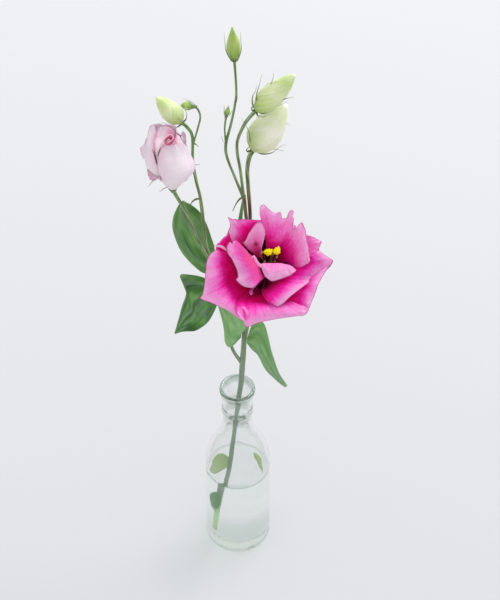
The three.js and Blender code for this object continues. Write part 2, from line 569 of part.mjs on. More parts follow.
// Leaves: broad and pointed, each one blade that starts just clear of the stem it grows from
const leaves = {
  leaf_behind: {
    left: [[-13.7, 16, 236], [-19.1, 22, 224.5], [-25.2, 25, 225], [-30.5, 26, 233.6], [-34.7, 26, 246],
      [-36.7, 25, 259], [-35.9, 24, 272], [-31.2, 24, 282.4]],
    right: [[-13.6, 16.3, 239.4], [-13, 24, 243], [-14.6, 26, 250], [-17.6, 28, 260], [-20.8, 28.6, 268.6],
      [-26, 27, 276.4], [-30.2, 25, 282.8]],
    belly: [0, 1, 1.5, 1, 0], wave: [0.8, 3, 0],
  },
  leaf_low_left: {
    left: [[-12.8, 11.2, 224.6], [-18.9, 8, 235], [-26.8, 6, 240], [-32.2, 3, 242.4], [-29, 0, 231.8],
      [-31.8, -3, 220.6], [-36.2, -6, 202]],
    right: [[-12.2, 10.8, 219.6], [-11.6, 5, 214.8], [-13.9, 2, 209.6], [-18, -1, 204.2],
      [-23.2, -4, 202.3], [-29.6, -5, 202.4], [-35.7, -6, 201]],
    belly: [0, 1, 1.5, 1, 0], wave: [0.5, 3, 1],
  },
  leaf_centre: {
    left: [[2.1, 10.2, 178], [-3.6, 4, 177], [-6.8, 0, 185.4], [-7.5, -3, 202], [-8.9, -5, 215.3],
      [-11.9, -7, 233.9]],
    right: [[2.2, 10.8, 181.6], [5.2, 3, 195.6], [3.5, -1, 209.6], [-1, -4, 221.3], [-6.2, -6, 229.1],
      [-11.3, -7, 234.8]],
    belly: [0, -1, -1.5, -1, 0], wave: [0.4, 2, 0],
  },
  leaf_right: {
    left: [[6.2, 9, 179.6], [9.4, 6, 195.7], [14.9, 3, 201], [18.4, 1, 189.8], [20.5, 0, 177],
      [22.7, -1, 167], [26, -3, 158.2], [29.6, -4, 150]],
    right: [[5.8, 8.6, 175], [8.6, 6, 172.4], [11.7, 4, 170.3], [16.5, 0, 162], [21.8, -2, 154.6],
      [28.8, -4, 149]],
    belly: [0, 1, 1, 0.5, 0], wave: [0.5, 3, 0.5],
  },
  leaf_narrow: {
    left: [[3.9, 18.9, 232], [-0.4, 25, 245], [0.2, 29, 256], [3.2, 34, 273.8]],
    right: [[3.9, 20.2, 232], [2.6, 27.5, 245], [3, 31, 256], [3.9, 34.4, 274.2]],
    belly: [0, 0.4, 0.4, 0],
  },
};
for (const [name, margins] of Object.entries(leaves)) {
  add(name, blade(margins, 12, 4, LEAF), leafGreen);
}

export default group;
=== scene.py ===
# %% [markdown]
# # A lisianthus spray in a small clear bottle
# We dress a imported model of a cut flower: one branched stem with an open magenta flower, a half-open
# pale flower and six buds, standing in a glass bottle of water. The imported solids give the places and
# the outlines. They are thick and coarse, so each is replaced here by a finer mesh of the same form,
# made from the same control points. Lengths are written in millimetres and turned to metres once,
# when a vertex is placed.

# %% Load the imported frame
import json
import math

import bmesh
import bpy
from mathutils import Matrix, Vector, noise

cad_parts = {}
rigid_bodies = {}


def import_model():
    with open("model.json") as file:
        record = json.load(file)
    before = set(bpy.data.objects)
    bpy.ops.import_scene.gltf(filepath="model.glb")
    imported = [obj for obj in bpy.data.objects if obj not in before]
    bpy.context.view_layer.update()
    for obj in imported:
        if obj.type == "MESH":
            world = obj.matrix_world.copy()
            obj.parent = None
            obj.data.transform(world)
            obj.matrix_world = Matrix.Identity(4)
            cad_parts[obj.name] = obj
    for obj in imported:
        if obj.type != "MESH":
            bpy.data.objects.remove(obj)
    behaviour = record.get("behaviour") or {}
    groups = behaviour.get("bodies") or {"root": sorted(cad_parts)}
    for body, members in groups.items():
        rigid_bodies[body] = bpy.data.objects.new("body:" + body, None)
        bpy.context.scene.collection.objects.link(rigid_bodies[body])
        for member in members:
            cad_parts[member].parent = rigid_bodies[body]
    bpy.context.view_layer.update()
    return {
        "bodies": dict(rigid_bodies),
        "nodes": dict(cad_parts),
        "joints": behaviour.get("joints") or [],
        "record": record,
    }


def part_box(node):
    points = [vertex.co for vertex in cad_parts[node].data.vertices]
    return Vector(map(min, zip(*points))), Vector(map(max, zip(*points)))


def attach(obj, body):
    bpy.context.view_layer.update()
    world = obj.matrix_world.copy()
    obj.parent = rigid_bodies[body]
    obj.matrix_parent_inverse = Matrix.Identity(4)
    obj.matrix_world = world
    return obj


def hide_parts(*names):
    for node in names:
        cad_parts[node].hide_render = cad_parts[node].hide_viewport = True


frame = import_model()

MM = 0.001
print("packed nodes:", len(frame["nodes"]))

# %% [markdown]
# ## The camera
# The picture looks down on the flower at 50 degrees with a long lens, so its verticals hardly spread.
# The camera is placed by three facts: its tilt, its distance to the bottle's foot, and the point of the
# 500 by 600 picture where that foot stands.

# %% Camera
PICTURE = (500, 600)
FOOT_IN_PICTURE = (238, 528)
CAMERA_TILT = math.radians(50)
CAMERA_DISTANCE = 1.9
LENS = 180
SENSOR = 36


def make_camera():
    # The width that one pixel of the picture covers at the bottle's foot.
    pixel = SENSOR / LENS / PICTURE[1] * CAMERA_DISTANCE
    across = (PICTURE[0] / 2 - FOOT_IN_PICTURE[0]) * pixel
    up = (FOOT_IN_PICTURE[1] - PICTURE[1] / 2) * pixel
    level, steep = math.cos(CAMERA_TILT), math.sin(CAMERA_TILT)
    data = bpy.data.cameras.new("camera")
    data.lens = LENS
    data.sensor_fit = "VERTICAL"
    data.sensor_height = SENSOR
    camera = bpy.data.objects.new("camera", data)
    camera.location = (
        across,
        -CAMERA_DISTANCE * level + up * steep,
        CAMERA_DISTANCE * steep + up * level,
    )
    camera.rotation_euler = (math.pi / 2 - CAMERA_TILT, 0, 0)
    bpy.context.scene.collection.objects.link(camera)
    bpy.context.scene.camera = camera
    print("camera at", [round(x, 3) for x in camera.location])


make_camera()

# %% [markdown]
# ## Nodes without clutter
# A finish is a small network of shader nodes. One helper adds a node, sets its values and plugs other
# nodes' outputs into it, so each finish below reads as a short list of steps.

# %% Shader helpers
def node(tree, kind, values=None, output=0, **settings):
    """Adds a shader node and returns one of its outputs; values are numbers, colours or outputs."""
    made = tree.nodes.new("ShaderNode" + kind)
    for name, setting in settings.items():
        setattr(made, name, setting)
    for name, value in (values or {}).items():
        if isinstance(value, bpy.types.NodeSocket):
            tree.links.new(value, made.inputs[name])
        else:
            made.inputs[name].default_value = value
    return made.outputs[output]


def ramp(tree, factor, stops):
    """A colour ramp from (position, colour) pairs; a colour may be one grey number."""
    made = tree.nodes.new("ShaderNodeValToRGB")
    elements = made.color_ramp.elements
    while len(elements) < len(stops):
        elements.new(0.5)
    for element, (position, colour) in zip(elements, stops):
        element.position = position
        rgb = (colour,) * 3 if isinstance(colour, (int, float)) else colour
        element.color = (*rgb, 1)
    tree.links.new(factor, made.inputs["Fac"])
    return made.outputs["Color"]


def mix(tree, factor, first, second, blend_type="MIX"):
    made = tree.nodes.new("ShaderNodeMix")
    made.data_type = "RGBA"
    made.blend_type = blend_type
    for socket, value in zip((made.inputs[0], made.inputs[6], made.inputs[7]), (factor, first, second)):
        if isinstance(value, bpy.types.NodeSocket):
            tree.links.new(value, socket)
        elif isinstance(value, (int, float)):
            socket.default_value = value
        else:
            socket.default_value = (*value, 1)
    return made.outputs[2]


def maths(tree, operation, *values):
    """One step of arithmetic on numbers or outputs."""
    return node(tree, "Math", dict(enumerate(values)), operation=operation)


def dot(tree, first, second):
    return node(tree, "VectorMath", {0: first, 1: second}, output="Value", operation="DOT_PRODUCT")


def mark(tree, name):
    """A number that the mesh carries at each vertex."""
    return node(tree, "Attribute", output="Fac", attribute_name=name)


def streaks(tree, across, lengthwise, detail=3.0):
    """Noise on the surface's own UV map, drawn out along the petal, leaf or stem."""
    place = node(tree, "TexCoord", output="UV")
    drawn = node(tree, "Mapping", {"Vector": place, "Scale": (across, lengthwise, 1)})
    return node(tree, "TexNoise", {"Vector": drawn, "Scale": 1.0, "Detail": detail})


def specks(tree, per_metre, detail=2.0):
    """Even noise in object space, as many cells to a metre as asked."""
    place = node(tree, "TexCoord", output="Object")
    return node(tree, "TexNoise", {"Vector": place, "Scale": per_metre, "Detail": detail})


def height_mask(tree, low, high):
    """A soft step in height, from 0 at low to 1 at high, in metres."""
    place = node(tree, "TexCoord", output="Object")
    z = node(tree, "SeparateXYZ", {"Vector": place}, output="Z")
    between = {"Value": z, "From Min": low, "From Max": high}
    return node(tree, "MapRange", between, interpolation_type="SMOOTHSTEP")


def finish(name, **values):
    """A new material and its node tree, with plain values set on the main shader."""
    material = bpy.data.materials.new(name)
    material.use_nodes = True
    shader = material.node_tree.nodes["Principled BSDF"]
    for socket, value in values.items():
        shader.inputs[socket.replace("_", " ")].default_value = value
    return material, material.node_tree, shader


def paint(tree, shader, colour):
    tree.links.new(colour, shader.inputs["Base Color"])


def relief(tree, shader, height, strength, depth):
    """Roughens the surface by a height, depth metres deep."""
    bump = node(tree, "Bump", {"Height": height, "Strength": strength, "Distance": depth}, output="Normal")
    tree.links.new(bump, shader.inputs["Normal"])


# %% [markdown]
# ## Floor and light
# The picture is high-key: a pale floor lit so softly that it hardly shows a shadow. A bright, even
# world does most of it. One wide soft lamp behind and to the right gives the petals their modelling. The
# floor's colour is painted a little lighter away from the viewer: a painted fall of light across it.

# %% Floor and light
FLOOR_SIZE = 12.0
# The floor is painted from a darker near end to a lighter far end: a painted fall of light.
FLOOR_SHADED_END = (0.592, 0.602, 0.622)
FLOOR_LIT_END = (0.690, 0.696, 0.712)
PAINTED_LIGHT_TOWARDS = (-0.15, 0.22, 0)
PAINTED_LIGHT_BETWEEN = (-0.08, 0.16)
WORLD_STRENGTH = 0.86
WINDOW = dict(place=(1.3, 1.3, 2.2), aim=(0, 0, 0.25), size=1.6, power=46)


def make_floor():
    mesh = bmesh.new()
    bmesh.ops.create_grid(mesh, x_segments=1, y_segments=1, size=FLOOR_SIZE / 2)
    data = bpy.data.meshes.new("floor")
    mesh.to_mesh(data)
    mesh.free()
    material, tree, shader = finish("pale_floor", Roughness=0.8, Specular_IOR_Level=0.15)
    place = node(tree, "TexCoord", output="Object")
    # Painted light: the floor's colour grows lighter in one direction across it.
    away = dot(tree, place, PAINTED_LIGHT_TOWARDS)
    low, high = PAINTED_LIGHT_BETWEEN
    pale = node(tree, "MapRange", {"Value": away, "From Min": low, "From Max": high})
    tint = ramp(tree, pale, [(0.0, FLOOR_SHADED_END), (1.0, FLOOR_LIT_END)])
    cloud = ramp(tree, specks(tree, 3), [(0.3, 0.99), (0.7, 1.0)])
    paint(tree, shader, mix(tree, 1.0, tint, cloud, "MULTIPLY"))
    data.materials.append(material)
    floor = bpy.data.objects.new("floor", data)
    bpy.context.scene.collection.objects.link(floor)


def soft_lamp(name, place, aim, size, power):
    data = bpy.data.lights.new(name, "AREA")
    data.size = size
    data.energy = power
    lamp = bpy.data.objects.new(name, data)
    lamp.location = place
    lamp.rotation_euler = (Vector(aim) - Vector(place)).to_track_quat("-Z", "Y").to_euler()
    lamp.visible_transmission = False
    bpy.context.scene.collection.objects.link(lamp)


def make_light():
    world = bpy.data.worlds.new("studio")
    bpy.context.scene.world = world
    world.use_nodes = True
    background = world.node_tree.nodes["Background"]
    background.inputs["Color"].default_value = (1, 1, 1, 1)
    background.inputs["Strength"].default_value = WORLD_STRENGTH
    soft_lamp("window", **WINDOW)
    bpy.context.scene.view_settings.view_transform = "Standard"


make_floor()
make_light()

# %% [markdown]
# ## Curves and frames
# Every outline in this part is a smooth line through a few control points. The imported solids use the
# same line, so what is grown on it here keeps their form. It works for numbers as well as points,
# which gives smooth radii and widths.

# %% Curves and frames
def spline(values, t):
    """The value a share t of the way along a smooth line through a list of points or numbers."""
    last = len(values) - 1
    index = min(int(t * last), last - 1)
    x = t * last - index
    start, end = values[index], values[index + 1]
    before = values[index - 1] if index else start * 2 - end
    after = values[index + 2] if index < last - 1 else end * 2 - start
    slope = (end - before) * x
    bend = (before * 2 - start * 5 + end * 4 - after) * x * x
    twist = (start * 3 - before - end * 3 + after) * x ** 3
    return start + (slope + bend + twist) * 0.5


def heading(points, t, step=1e-3):
    """The direction in which a line of points runs at t."""
    return (spline(points, min(t + step, 1)) - spline(points, max(t - step, 0))).normalized()


def rise(low, high, x):
    """A soft step from 0 at low to 1 at high."""
    t = min(max((x - low) / (high - low), 0), 1)
    return t * t * (3 - 2 * t)


def bump_at(x, centre, width):
    """A round hump, 1 at its centre and near 0 twice its width away."""
    return math.exp(-(((x - centre) / width) ** 2))


def polar(radius, degrees, z):
    turn = math.radians(degrees)
    return Vector((radius * math.cos(turn), radius * math.sin(turn), z))


def standing(origin, axis):
    """A frame at a point, with its own Z along an axis."""
    turn = Vector((0, 0, 1)).rotation_difference(Vector(axis))
    return Matrix.Translation(Vector(origin)) @ turn.to_matrix().to_4x4()


def vectors(points):
    return [Vector(point) for point in points]


def carried(frame, points):
    """Points that are written in a frame of their own, as points of the whole part."""
    return [frame @ Vector(point) for point in points]


# %% [markdown]
# ## From a flat grid to a petal
# A petal, a leaf, a stem and a bud are all a flat grid that has been laid in space. So one helper makes
# a grid and lets a function place each of its vertices. Each vertex also carries three marks that the
# finishes read: its depth in the flower, its distance from the margin and a tone.

# %% Grids and pieces
MARKS = ("depth", "edge", "tone")


def new_mesh():
    mesh = bmesh.new()
    mesh.loops.layers.uv.new("surface")
    for name in MARKS:
        mesh.verts.layers.float.new(name)
    return mesh


def lay_grid(mesh, columns, rows, place):
    """Adds a grid whose place(u, v) gives each vertex's point, in mm, and its three marks."""
    layers = [mesh.verts.layers.float[name] for name in MARKS]
    made = bmesh.ops.create_grid(mesh, x_segments=columns, y_segments=rows, size=0.5, calc_uvs=True)["verts"]
    for vertex in made:
        point, marks = place(vertex.co.x + 0.5, vertex.co.y + 0.5)
        vertex.co = point * MM
        for layer, value in zip(layers, marks):
            vertex[layer] = value
    return made


def close_tube(mesh, vertices):
    """Joins the two long sides of a grid that was wrapped round, and caps its open ends."""
    faces = {face for vertex in vertices for face in vertex.link_faces}
    bmesh.ops.remove_doubles(mesh, verts=vertices, dist=1e-8)
    faces = [face for face in faces if face.is_valid]
    ends = [edge for edge in {edge for face in faces for edge in face.edges} if edge.is_boundary]
    caps = bmesh.ops.holes_fill(mesh, edges=ends, sides=0)["faces"]
    bmesh.ops.recalc_face_normals(mesh, faces=faces + caps)


def piece(name, mesh, material, replaced=(), thickness=0.0, levels=0):
    """Turns a mesh into a finished piece that rides on the part."""
    data = bpy.data.meshes.new(name)
    mesh.to_mesh(data)
    mesh.free()
    data.materials.append(material)
    data.shade_smooth()
    made = bpy.data.objects.new(name, data)
    bpy.context.scene.collection.objects.link(made)
    if thickness:
        wall = made.modifiers.new("thickness", "SOLIDIFY")
        wall.thickness = thickness * MM
        wall.offset = 0
        wall.use_even_offset = False
    if levels:
        softer = made.modifiers.new("softer", "SUBSURF")
        softer.levels = levels
        softer.render_levels = levels
    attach(made, "root")
    if replaced:
        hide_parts(*replaced)
    print(name, "faces:", len(data.polygons))


# %% [markdown]
# ## Stalks and blades
# Two forms make up the whole plant. A stalk is a grid wrapped round a line. One frame is carried along
# the line, so the grid doesn't twist where the stem bends. A blade is a grid stretched between two
# margins, and then bowed, ruffled and given its lip.

# %% Stalks and blades
def stalk(mesh, points, radii, sides=12, steps_each=5, marks=(0, 0, 0)):
    """A closed round stalk along a smooth line through points, its radius read off a list by length."""
    points = vectors(points)
    steps = steps_each * (len(points) - 1)
    line = [spline(points, step / steps) for step in range(steps + 1)]
    lengths = [0.0]
    for before, after in zip(line, line[1:]):
        lengths.append(lengths[-1] + (after - before).length)
    forward = heading(points, 0)
    normal = forward.orthogonal().normalized()
    frames = []
    for step in range(steps + 1):
        ahead = heading(points, step / steps)
        normal = forward.rotation_difference(ahead) @ normal
        forward = ahead
        frames.append((normal.copy(), forward.cross(normal)))

    def place(u, v):
        step = round(v * steps)
        turn = 2 * math.pi * u
        side, other = frames[step]
        radius = spline(radii, lengths[step] / lengths[-1])
        return line[step] + (side * math.cos(turn) + other * math.sin(turn)) * radius, marks

    close_tube(mesh, lay_grid(mesh, sides, steps, place))


def blade(mesh, left, right, rows, columns, lip=None, belly=(0, 0), wave=(0, 0, 0), shape=None, marks=None):
    """An open sheet between two margins that run from its foot to its end.

    lip is the outline of that end, from the left margin to the right one. belly bows the sheet towards
    its face. wave ruffles its margins, and gives a height, a number of turns and where they start.
    shape(side, v) adds finer relief: how far in mm each point moves towards the face, and how far
    sideways, away from the middle. marks(side, v, edge) gives the three marks.
    """
    left, right = vectors(left), vectors(right)
    lip = vectors(lip) if lip else [left[-1], right[-1]]
    height, turns, phase = wave

    def place(u, v):
        start, end = spline(left, v), spline(right, v)
        across = end - start
        forward = (heading(left, v) + heading(right, v)).normalized()
        face = across.cross(forward).normalized()
        side = 2 * u - 1
        bow = spline(belly, v) * (1 - side * side)
        ruffle = height * v * side * side * math.sin(2 * math.pi * turns * v + phase + 2 * side)
        lift, outward = shape(side, v) if shape else (0, 0)
        aside = across.normalized() * math.copysign(outward, side)
        reach = (spline(lip, u) - left[-1].lerp(right[-1], u)) * v ** 3
        point = start.lerp(end, u) + reach + aside + face * (bow + ruffle + lift)
        edge = across.length / 2 * (1 - abs(side))
        return point, marks(side, v, edge) if marks else (v, edge, 0)

    lay_grid(mesh, columns, rows, place)


# %% [markdown]
# ## The bottle
# The real bottle is blown glass: a thick flat foot, a straight body, round shoulders, a narrow neck and
# a mouth that flares to a heavy rim. It could be drawn as nested cylinders, but glass shows its wall, so
# the whole section is drawn once, outside and inside, and spun round. Subdivision then rounds every
# corner as fire does. Points are set close to a corner that has to stay tight. A round bead runs under
# the mouth. Where the glass is thick the finish deepens its tint by height: partly the green of thick
# glass, partly painted shade for the dark crescents that the rim, the bead and the foot show. Heights
# that a finish reads are in metres, from where it starts to come in to where it is full.

# %% Bottle
BOTTLE_SIDES = 40
WALL = 1.8
FOOT_THICKNESS = 9.0
RIM_HEIGHTS = (0.137, 0.141)
UNDER_BEAD = (0.115, 0.121)
OVER_BEAD = (0.128, 0.124)
FOOT_HEIGHTS = (0.008, 0.002)
NECK_HEIGHTS = (0.106, 0.112)
CLEAR_TINT = (0.985, 0.99, 0.987)
THICK_GREEN_AND_SHADE = (0.57, 0.65, 0.59)
BODY_TINT = (0.46, 0.58, 0.50, 1)
bottle_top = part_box("bottle")[1] / MM
BODY_RADIUS, BOTTLE_HEIGHT = bottle_top.x, bottle_top.z
RIM_RADIUS = 10.9
NECK_RADIUS = 8.7
OUTSIDE = [
    (BODY_RADIUS - 6, 0.35), (BODY_RADIUS - 4, 0), (BODY_RADIUS - 2.2, 0), (BODY_RADIUS - 0.7, 0.8),
    (BODY_RADIUS, 2.8), (BODY_RADIUS, 8), (BODY_RADIUS, 40), (BODY_RADIUS, 70), (BODY_RADIUS - 0.1, 76),
    (BODY_RADIUS - 0.7, 81), (BODY_RADIUS - 2.6, 88), (BODY_RADIUS - 5.6, 94), (12, 99), (10, 105),
    (NECK_RADIUS, 114), (NECK_RADIUS, 119), (NECK_RADIUS + 0.1, 121), (NECK_RADIUS + 0.9, 122.4),
    (NECK_RADIUS + 1, 124), (NECK_RADIUS + 0.7, 126), (RIM_RADIUS - 1.2, 134), (RIM_RADIUS - 0.3, 140),
    (RIM_RADIUS, 142), (RIM_RADIUS - 0.3, 143.5), (RIM_RADIUS - 1.1, BOTTLE_HEIGHT),
]
INSIDE = [
    (RIM_RADIUS - 2.2, BOTTLE_HEIGHT - 0.2), (RIM_RADIUS - 2.9, 142.6), (RIM_RADIUS - 3.2, 138),
    (RIM_RADIUS - 3.5, 130), (NECK_RADIUS - WALL, 122), (NECK_RADIUS - WALL, 116), (7.9, 103.4), (10.4, 97.4),
    (13.5, 91), (15.9, 85.5), (17.3, 79.5), (BODY_RADIUS - WALL, 73), (BODY_RADIUS - WALL, 68),
    (BODY_RADIUS - WALL, 40), (BODY_RADIUS - WALL, 18), (BODY_RADIUS - WALL, FOOT_THICKNESS + 4),
    (BODY_RADIUS - 3.2, FOOT_THICKNESS + 1.4), (BODY_RADIUS - 6, FOOT_THICKNESS + 0.2),
    (BODY_RADIUS - 9, FOOT_THICKNESS),
]


def spun(name, profile, material, replaced, levels):
    """A closed solid of revolution from a section that starts and ends on the axis."""
    mesh = new_mesh()
    last = len(profile) - 1

    def place(u, v):
        radius, z = profile[round(v * last)]
        return polar(radius, 360 * u, z), (0, 0, 0)

    made = lay_grid(mesh, BOTTLE_SIDES, last, place)
    bmesh.ops.remove_doubles(mesh, verts=made, dist=1e-7)
    bmesh.ops.recalc_face_normals(mesh, faces=mesh.faces)
    piece(name, mesh, material, replaced, levels=levels)


def let_light_through(tree, shader, longest):
    """Lamps shine straight through the surface, so what stands behind it is lit as it is in the open.

    A ray that has been thrown about inside more often than longest is let out too, and doesn't end
    black. longest is a number, or an output that gives it from place to place.
    """
    rays = tree.nodes.new("ShaderNodeLightPath")
    passing = maths(tree, "MAXIMUM", rays.outputs["Is Shadow Ray"], rays.outputs["Is Diffuse Ray"])
    worn = maths(tree, "GREATER_THAN", rays.outputs["Ray Depth"], longest)
    passing = maths(tree, "MAXIMUM", passing, worn)
    open_way = node(tree, "BsdfTransparent", {"Color": (0.97, 0.98, 0.975, 1)})
    both = node(tree, "MixShader", {0: passing, 1: shader.outputs[0], 2: open_way})
    tree.links.new(both, tree.nodes["Material Output"].inputs["Surface"])


def clear_glass():
    """Clear glass with a darker green at the mouth, the bead and the foot: partly thick glass, partly painted
    shade.
    """
    material, tree, shader = finish("clear_glass", Roughness=0.0, IOR=1.48, Transmission_Weight=1.0)
    # The darker green where the glass is thick is partly its own tint and partly painted shade for the dark
    # crescents there.
    bead = maths(tree, "MULTIPLY", height_mask(tree, *UNDER_BEAD), height_mask(tree, *OVER_BEAD))
    bead = maths(tree, "MULTIPLY", bead, 0.8)
    thick = maths(tree, "MAXIMUM", bead, height_mask(tree, *RIM_HEIGHTS))
    thick = maths(tree, "MAXIMUM", thick, height_mask(tree, *FOOT_HEIGHTS))
    paint(tree, shader, mix(tree, thick, CLEAR_TINT, THICK_GREEN_AND_SHADE))
    relief(tree, shader, specks(tree, 90, 1), strength=0.12, depth=0.0006)
    body = node(tree, "VolumeAbsorption", {"Color": BODY_TINT, "Density": 13.0})
    tree.links.new(body, tree.nodes["Material Output"].inputs["Volume"])
    longest = maths(tree, "ADD", height_mask(tree, *NECK_HEIGHTS), 3.5)
    let_light_through(tree, shader, longest)
    return material


spun("glass_bottle", [(0, 1.2), (BODY_RADIUS - 9, 1.0)] + OUTSIDE + INSIDE + [(0, FOOT_THICKNESS + 0.6)],
     clear_glass(), ["bottle"], levels=2)

# %% [markdown]
# ## The water
# Water is one clear solid. Where it meets glass there is no air between them, so its side is laid a
# hair inside the wall of the glass, and the light passes straight from one to the other. Its surface
# climbs a little at the wall, which draws the bright and dark lines that tell the eye where it ends.
# That climbing edge is tinted darker, a painted shade that draws its line from every side.

# %% Water
WATER_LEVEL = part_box("water")[1].z / MM
OVERLAP = 0.1
CLIMB = 2.2
WATER_TINT = (0.985, 0.995, 0.99)
MENISCUS_SHADE = (0.74, 0.81, 0.76)
wet = BODY_RADIUS - WALL + OVERLAP
WATER_SIDE = [
    (BODY_RADIUS - 9, FOOT_THICKNESS - OVERLAP), (BODY_RADIUS - 6, FOOT_THICKNESS + 0.2 - OVERLAP),
    (BODY_RADIUS - 3.2 + OVERLAP, FOOT_THICKNESS + 1.3), (wet, FOOT_THICKNESS + 4), (wet, 18), (wet, 40),
    (wet, WATER_LEVEL - 3), (wet, WATER_LEVEL + CLIMB - 0.3), (wet, WATER_LEVEL + CLIMB),
    (wet - 0.5, WATER_LEVEL + CLIMB * 0.5), (wet - 1.4, WATER_LEVEL + CLIMB * 0.12),
    (wet - 3, WATER_LEVEL), (wet - 8, WATER_LEVEL),
]


def clear_water():
    material, tree, shader = finish("clear_water", Roughness=0.0, IOR=1.33, Transmission_Weight=1.0)
    # Painted shade: the water's climbing edge is coloured darker, so its line shows.
    climb = height_mask(tree, (WATER_LEVEL + 0.2) * MM, (WATER_LEVEL + 1) * MM)
    paint(tree, shader, mix(tree, climb, WATER_TINT, MENISCUS_SHADE))
    relief(tree, shader, specks(tree, 40, 1), strength=0.05, depth=0.0005)
    let_light_through(tree, shader, 6.5)
    return material


spun("bottle_water", [(0, FOOT_THICKNESS + 0.5 - OVERLAP)] + WATER_SIDE + [(0, WATER_LEVEL)],
     clear_water(), ["water"], levels=2)

# %% [markdown]
# ## Green skin
# The stems are olive green with long pale and dark lines in their skin, and a waxy bloom that softens
# the shine. Where two thin stems run together above the flower they have turned reddish brown, and low
# down the green turns grey, then pale where it stands soaked. Heights pick those stretches out, since
# every piece is already at its real place.

# %% Stem finish
STEM_GREEN = [(0.34, (0.06, 0.125, 0.03)), (0.5, (0.18, 0.28, 0.095)), (0.66, (0.40, 0.52, 0.29))]
STEM_BROWN = [(0.36, (0.035, 0.022, 0.012)), (0.52, (0.17, 0.13, 0.05)), (0.68, (0.38, 0.30, 0.15))]
GREY_GREEN = (0.24, 0.31, 0.24)
SOAKED_GREEN = (0.50, 0.72, 0.36)
BROWN_FROM = (0.245, 0.256)
BROWN_UP_TO = (0.296, 0.272)
GREY_BELOW = (0.20, 0.14)
SOAKED_BELOW = (0.044, 0.026)


def stem_skin():
    material, tree, shader = finish(
        "stem_skin", Roughness=0.42, Specular_IOR_Level=0.4, Coat_Weight=0.08, Coat_Roughness=0.3)
    lines = streaks(tree, 7, 5)
    brown = maths(tree, "MULTIPLY", height_mask(tree, *BROWN_FROM), height_mask(tree, *BROWN_UP_TO))
    brown = maths(tree, "MULTIPLY", brown, mark(tree, "tone"))
    skin = mix(tree, brown, ramp(tree, lines, STEM_GREEN), ramp(tree, lines, STEM_BROWN))
    grey = maths(tree, "MULTIPLY", height_mask(tree, *GREY_BELOW), 0.85)
    skin = mix(tree, grey, skin, GREY_GREEN)
    skin = mix(tree, height_mask(tree, *SOAKED_BELOW), skin, SOAKED_GREEN)
    paint(tree, shader, skin)
    relief(tree, shader, lines, strength=0.35, depth=0.0004)
    return material


stem_finish = stem_skin()

# %% [markdown]
# ## Stems
# The main stem leans from the foot of the bottle to the fork behind the open flower, and each branch
# leaves it at a slightly swollen joint. A stem is a round grid wrapped along its line. The branches root
# a little way inside the stem, as the real ones grow out of it. Each branch below gives its line, its
# radius along it and how reddish it has turned.

# %% Stems
MAIN_STEM = [
    (-11, -5.5, 12), (-8, -3, 40), (-5, -0.2, 66), (-2, 2.6, 98), (0.6, 4.6, 126), (2.2, 5.4, 140),
    (3, 7, 155), (4, 10, 173), (5, 15, 207), (6, 20, 235), (6.5, 23, 251),
]
MAIN_STEM_RADII = [1.4, 1.4, 1.42, 1.42, 1.4, 1.5, 1.75, 1.5, 1.4, 1.35, 1.5]
CUT_STUB = [(-9.2, -4, 30), (-12, -5, 33), (-13.5, -6, 37)]
BRANCHES = {
    "left": (
        [(2.9, 7.3, 157), (-3.3, 8, 172), (-7.6, 9, 200), (-11, 12, 219.5), (-14.3, 15, 241)],
        [1.15, 0.95, 0.95, 0.95, 1.15], 0),
    "middle": (
        [(6.3, 22, 246), (6.6, 23.5, 253), (5.5, 26, 265.6), (4, 29, 282)], [1.3, 1.05, 1.05, 1.3], 0.9),
    "to_lower_right_bud": (
        [(6.3, 22, 246), (7.7, 27, 264.5), (6.5, 32, 288), (6.1, 35, 298), (7.3, 37, 306), (9.4, 38.4, 310)],
        [1.1, 1.05, 1.1, 1.15, 1.2, 1.4], 1),
    "to_upper_right_bud": (
        [(4.1, 28.6, 280), (2.2, 31, 300.7), (0.5, 32, 314.5), (0.7, 32, 325), (4, 31, 337.6),
         (7.3, 30.5, 345), (11, 30, 351.5)],
        [1.05, 0.85, 0.85, 0.88, 0.9, 1.0, 1.2], 0.3),
    "to_top_bud": (
        [(4.1, 28.6, 280), (-1.5, 31, 297.4), (-5.3, 34, 309), (-5.9, 36, 317.6), (-3, 39, 330.7),
         (-0.7, 43, 342.6), (0, 46, 350.7), (-1, 50.3, 370.6)],
        [1.0, 0.75, 0.75, 0.9, 0.7, 0.7, 0.7, 0.85], 0),
    "to_tiny_bud": ([(-5.9, 36, 316), (-6.5, 38, 328.6), (-5.6, 39.6, 336.5)], [0.65, 0.5, 0.6], 0),
    "to_pale_flower": (
        [(-14, 14.7, 239), (-20.6, 16, 254.5), (-24.5, 17, 267), (-28.9, 17, 282.6), (-33.4, 16, 295.5),
         (-35.4, 14, 304)],
        [1.1, 0.9, 0.9, 0.95, 1.0, 1.3], 0),
    "to_left_bud": (
        [(-14, 14.7, 239), (-17.3, 18, 251.3), (-18.7, 21, 265.3), (-20.4, 24, 285), (-22.8, 26, 298.7),
         (-24.5, 29, 312), (-24.5, 33, 326.6), (-27.2, 35.5, 331.6), (-30.2, 35.9, 334.9)],
        [1.1, 0.9, 0.9, 1.05, 0.9, 0.9, 0.85, 0.85, 1.1], 0),
    "to_small_left_bud": (
        [(-24.4, 31.6, 321), (-21.5, 32.5, 333.6), (-19.9, 33, 342.7), (-21.3, 33, 349.1),
         (-23.5, 32.1, 352)],
        [0.7, 0.55, 0.55, 0.55, 0.7], 0),
    "to_open_flower": (
        [(3.9, 9.8, 172), (8, 11, 200), (13, 13, 222), (17, 11.5, 238), (18.1, 6.3, 245.2)],
        [1.3, 1.1, 1.1, 1.2, 1.6], 0),
}


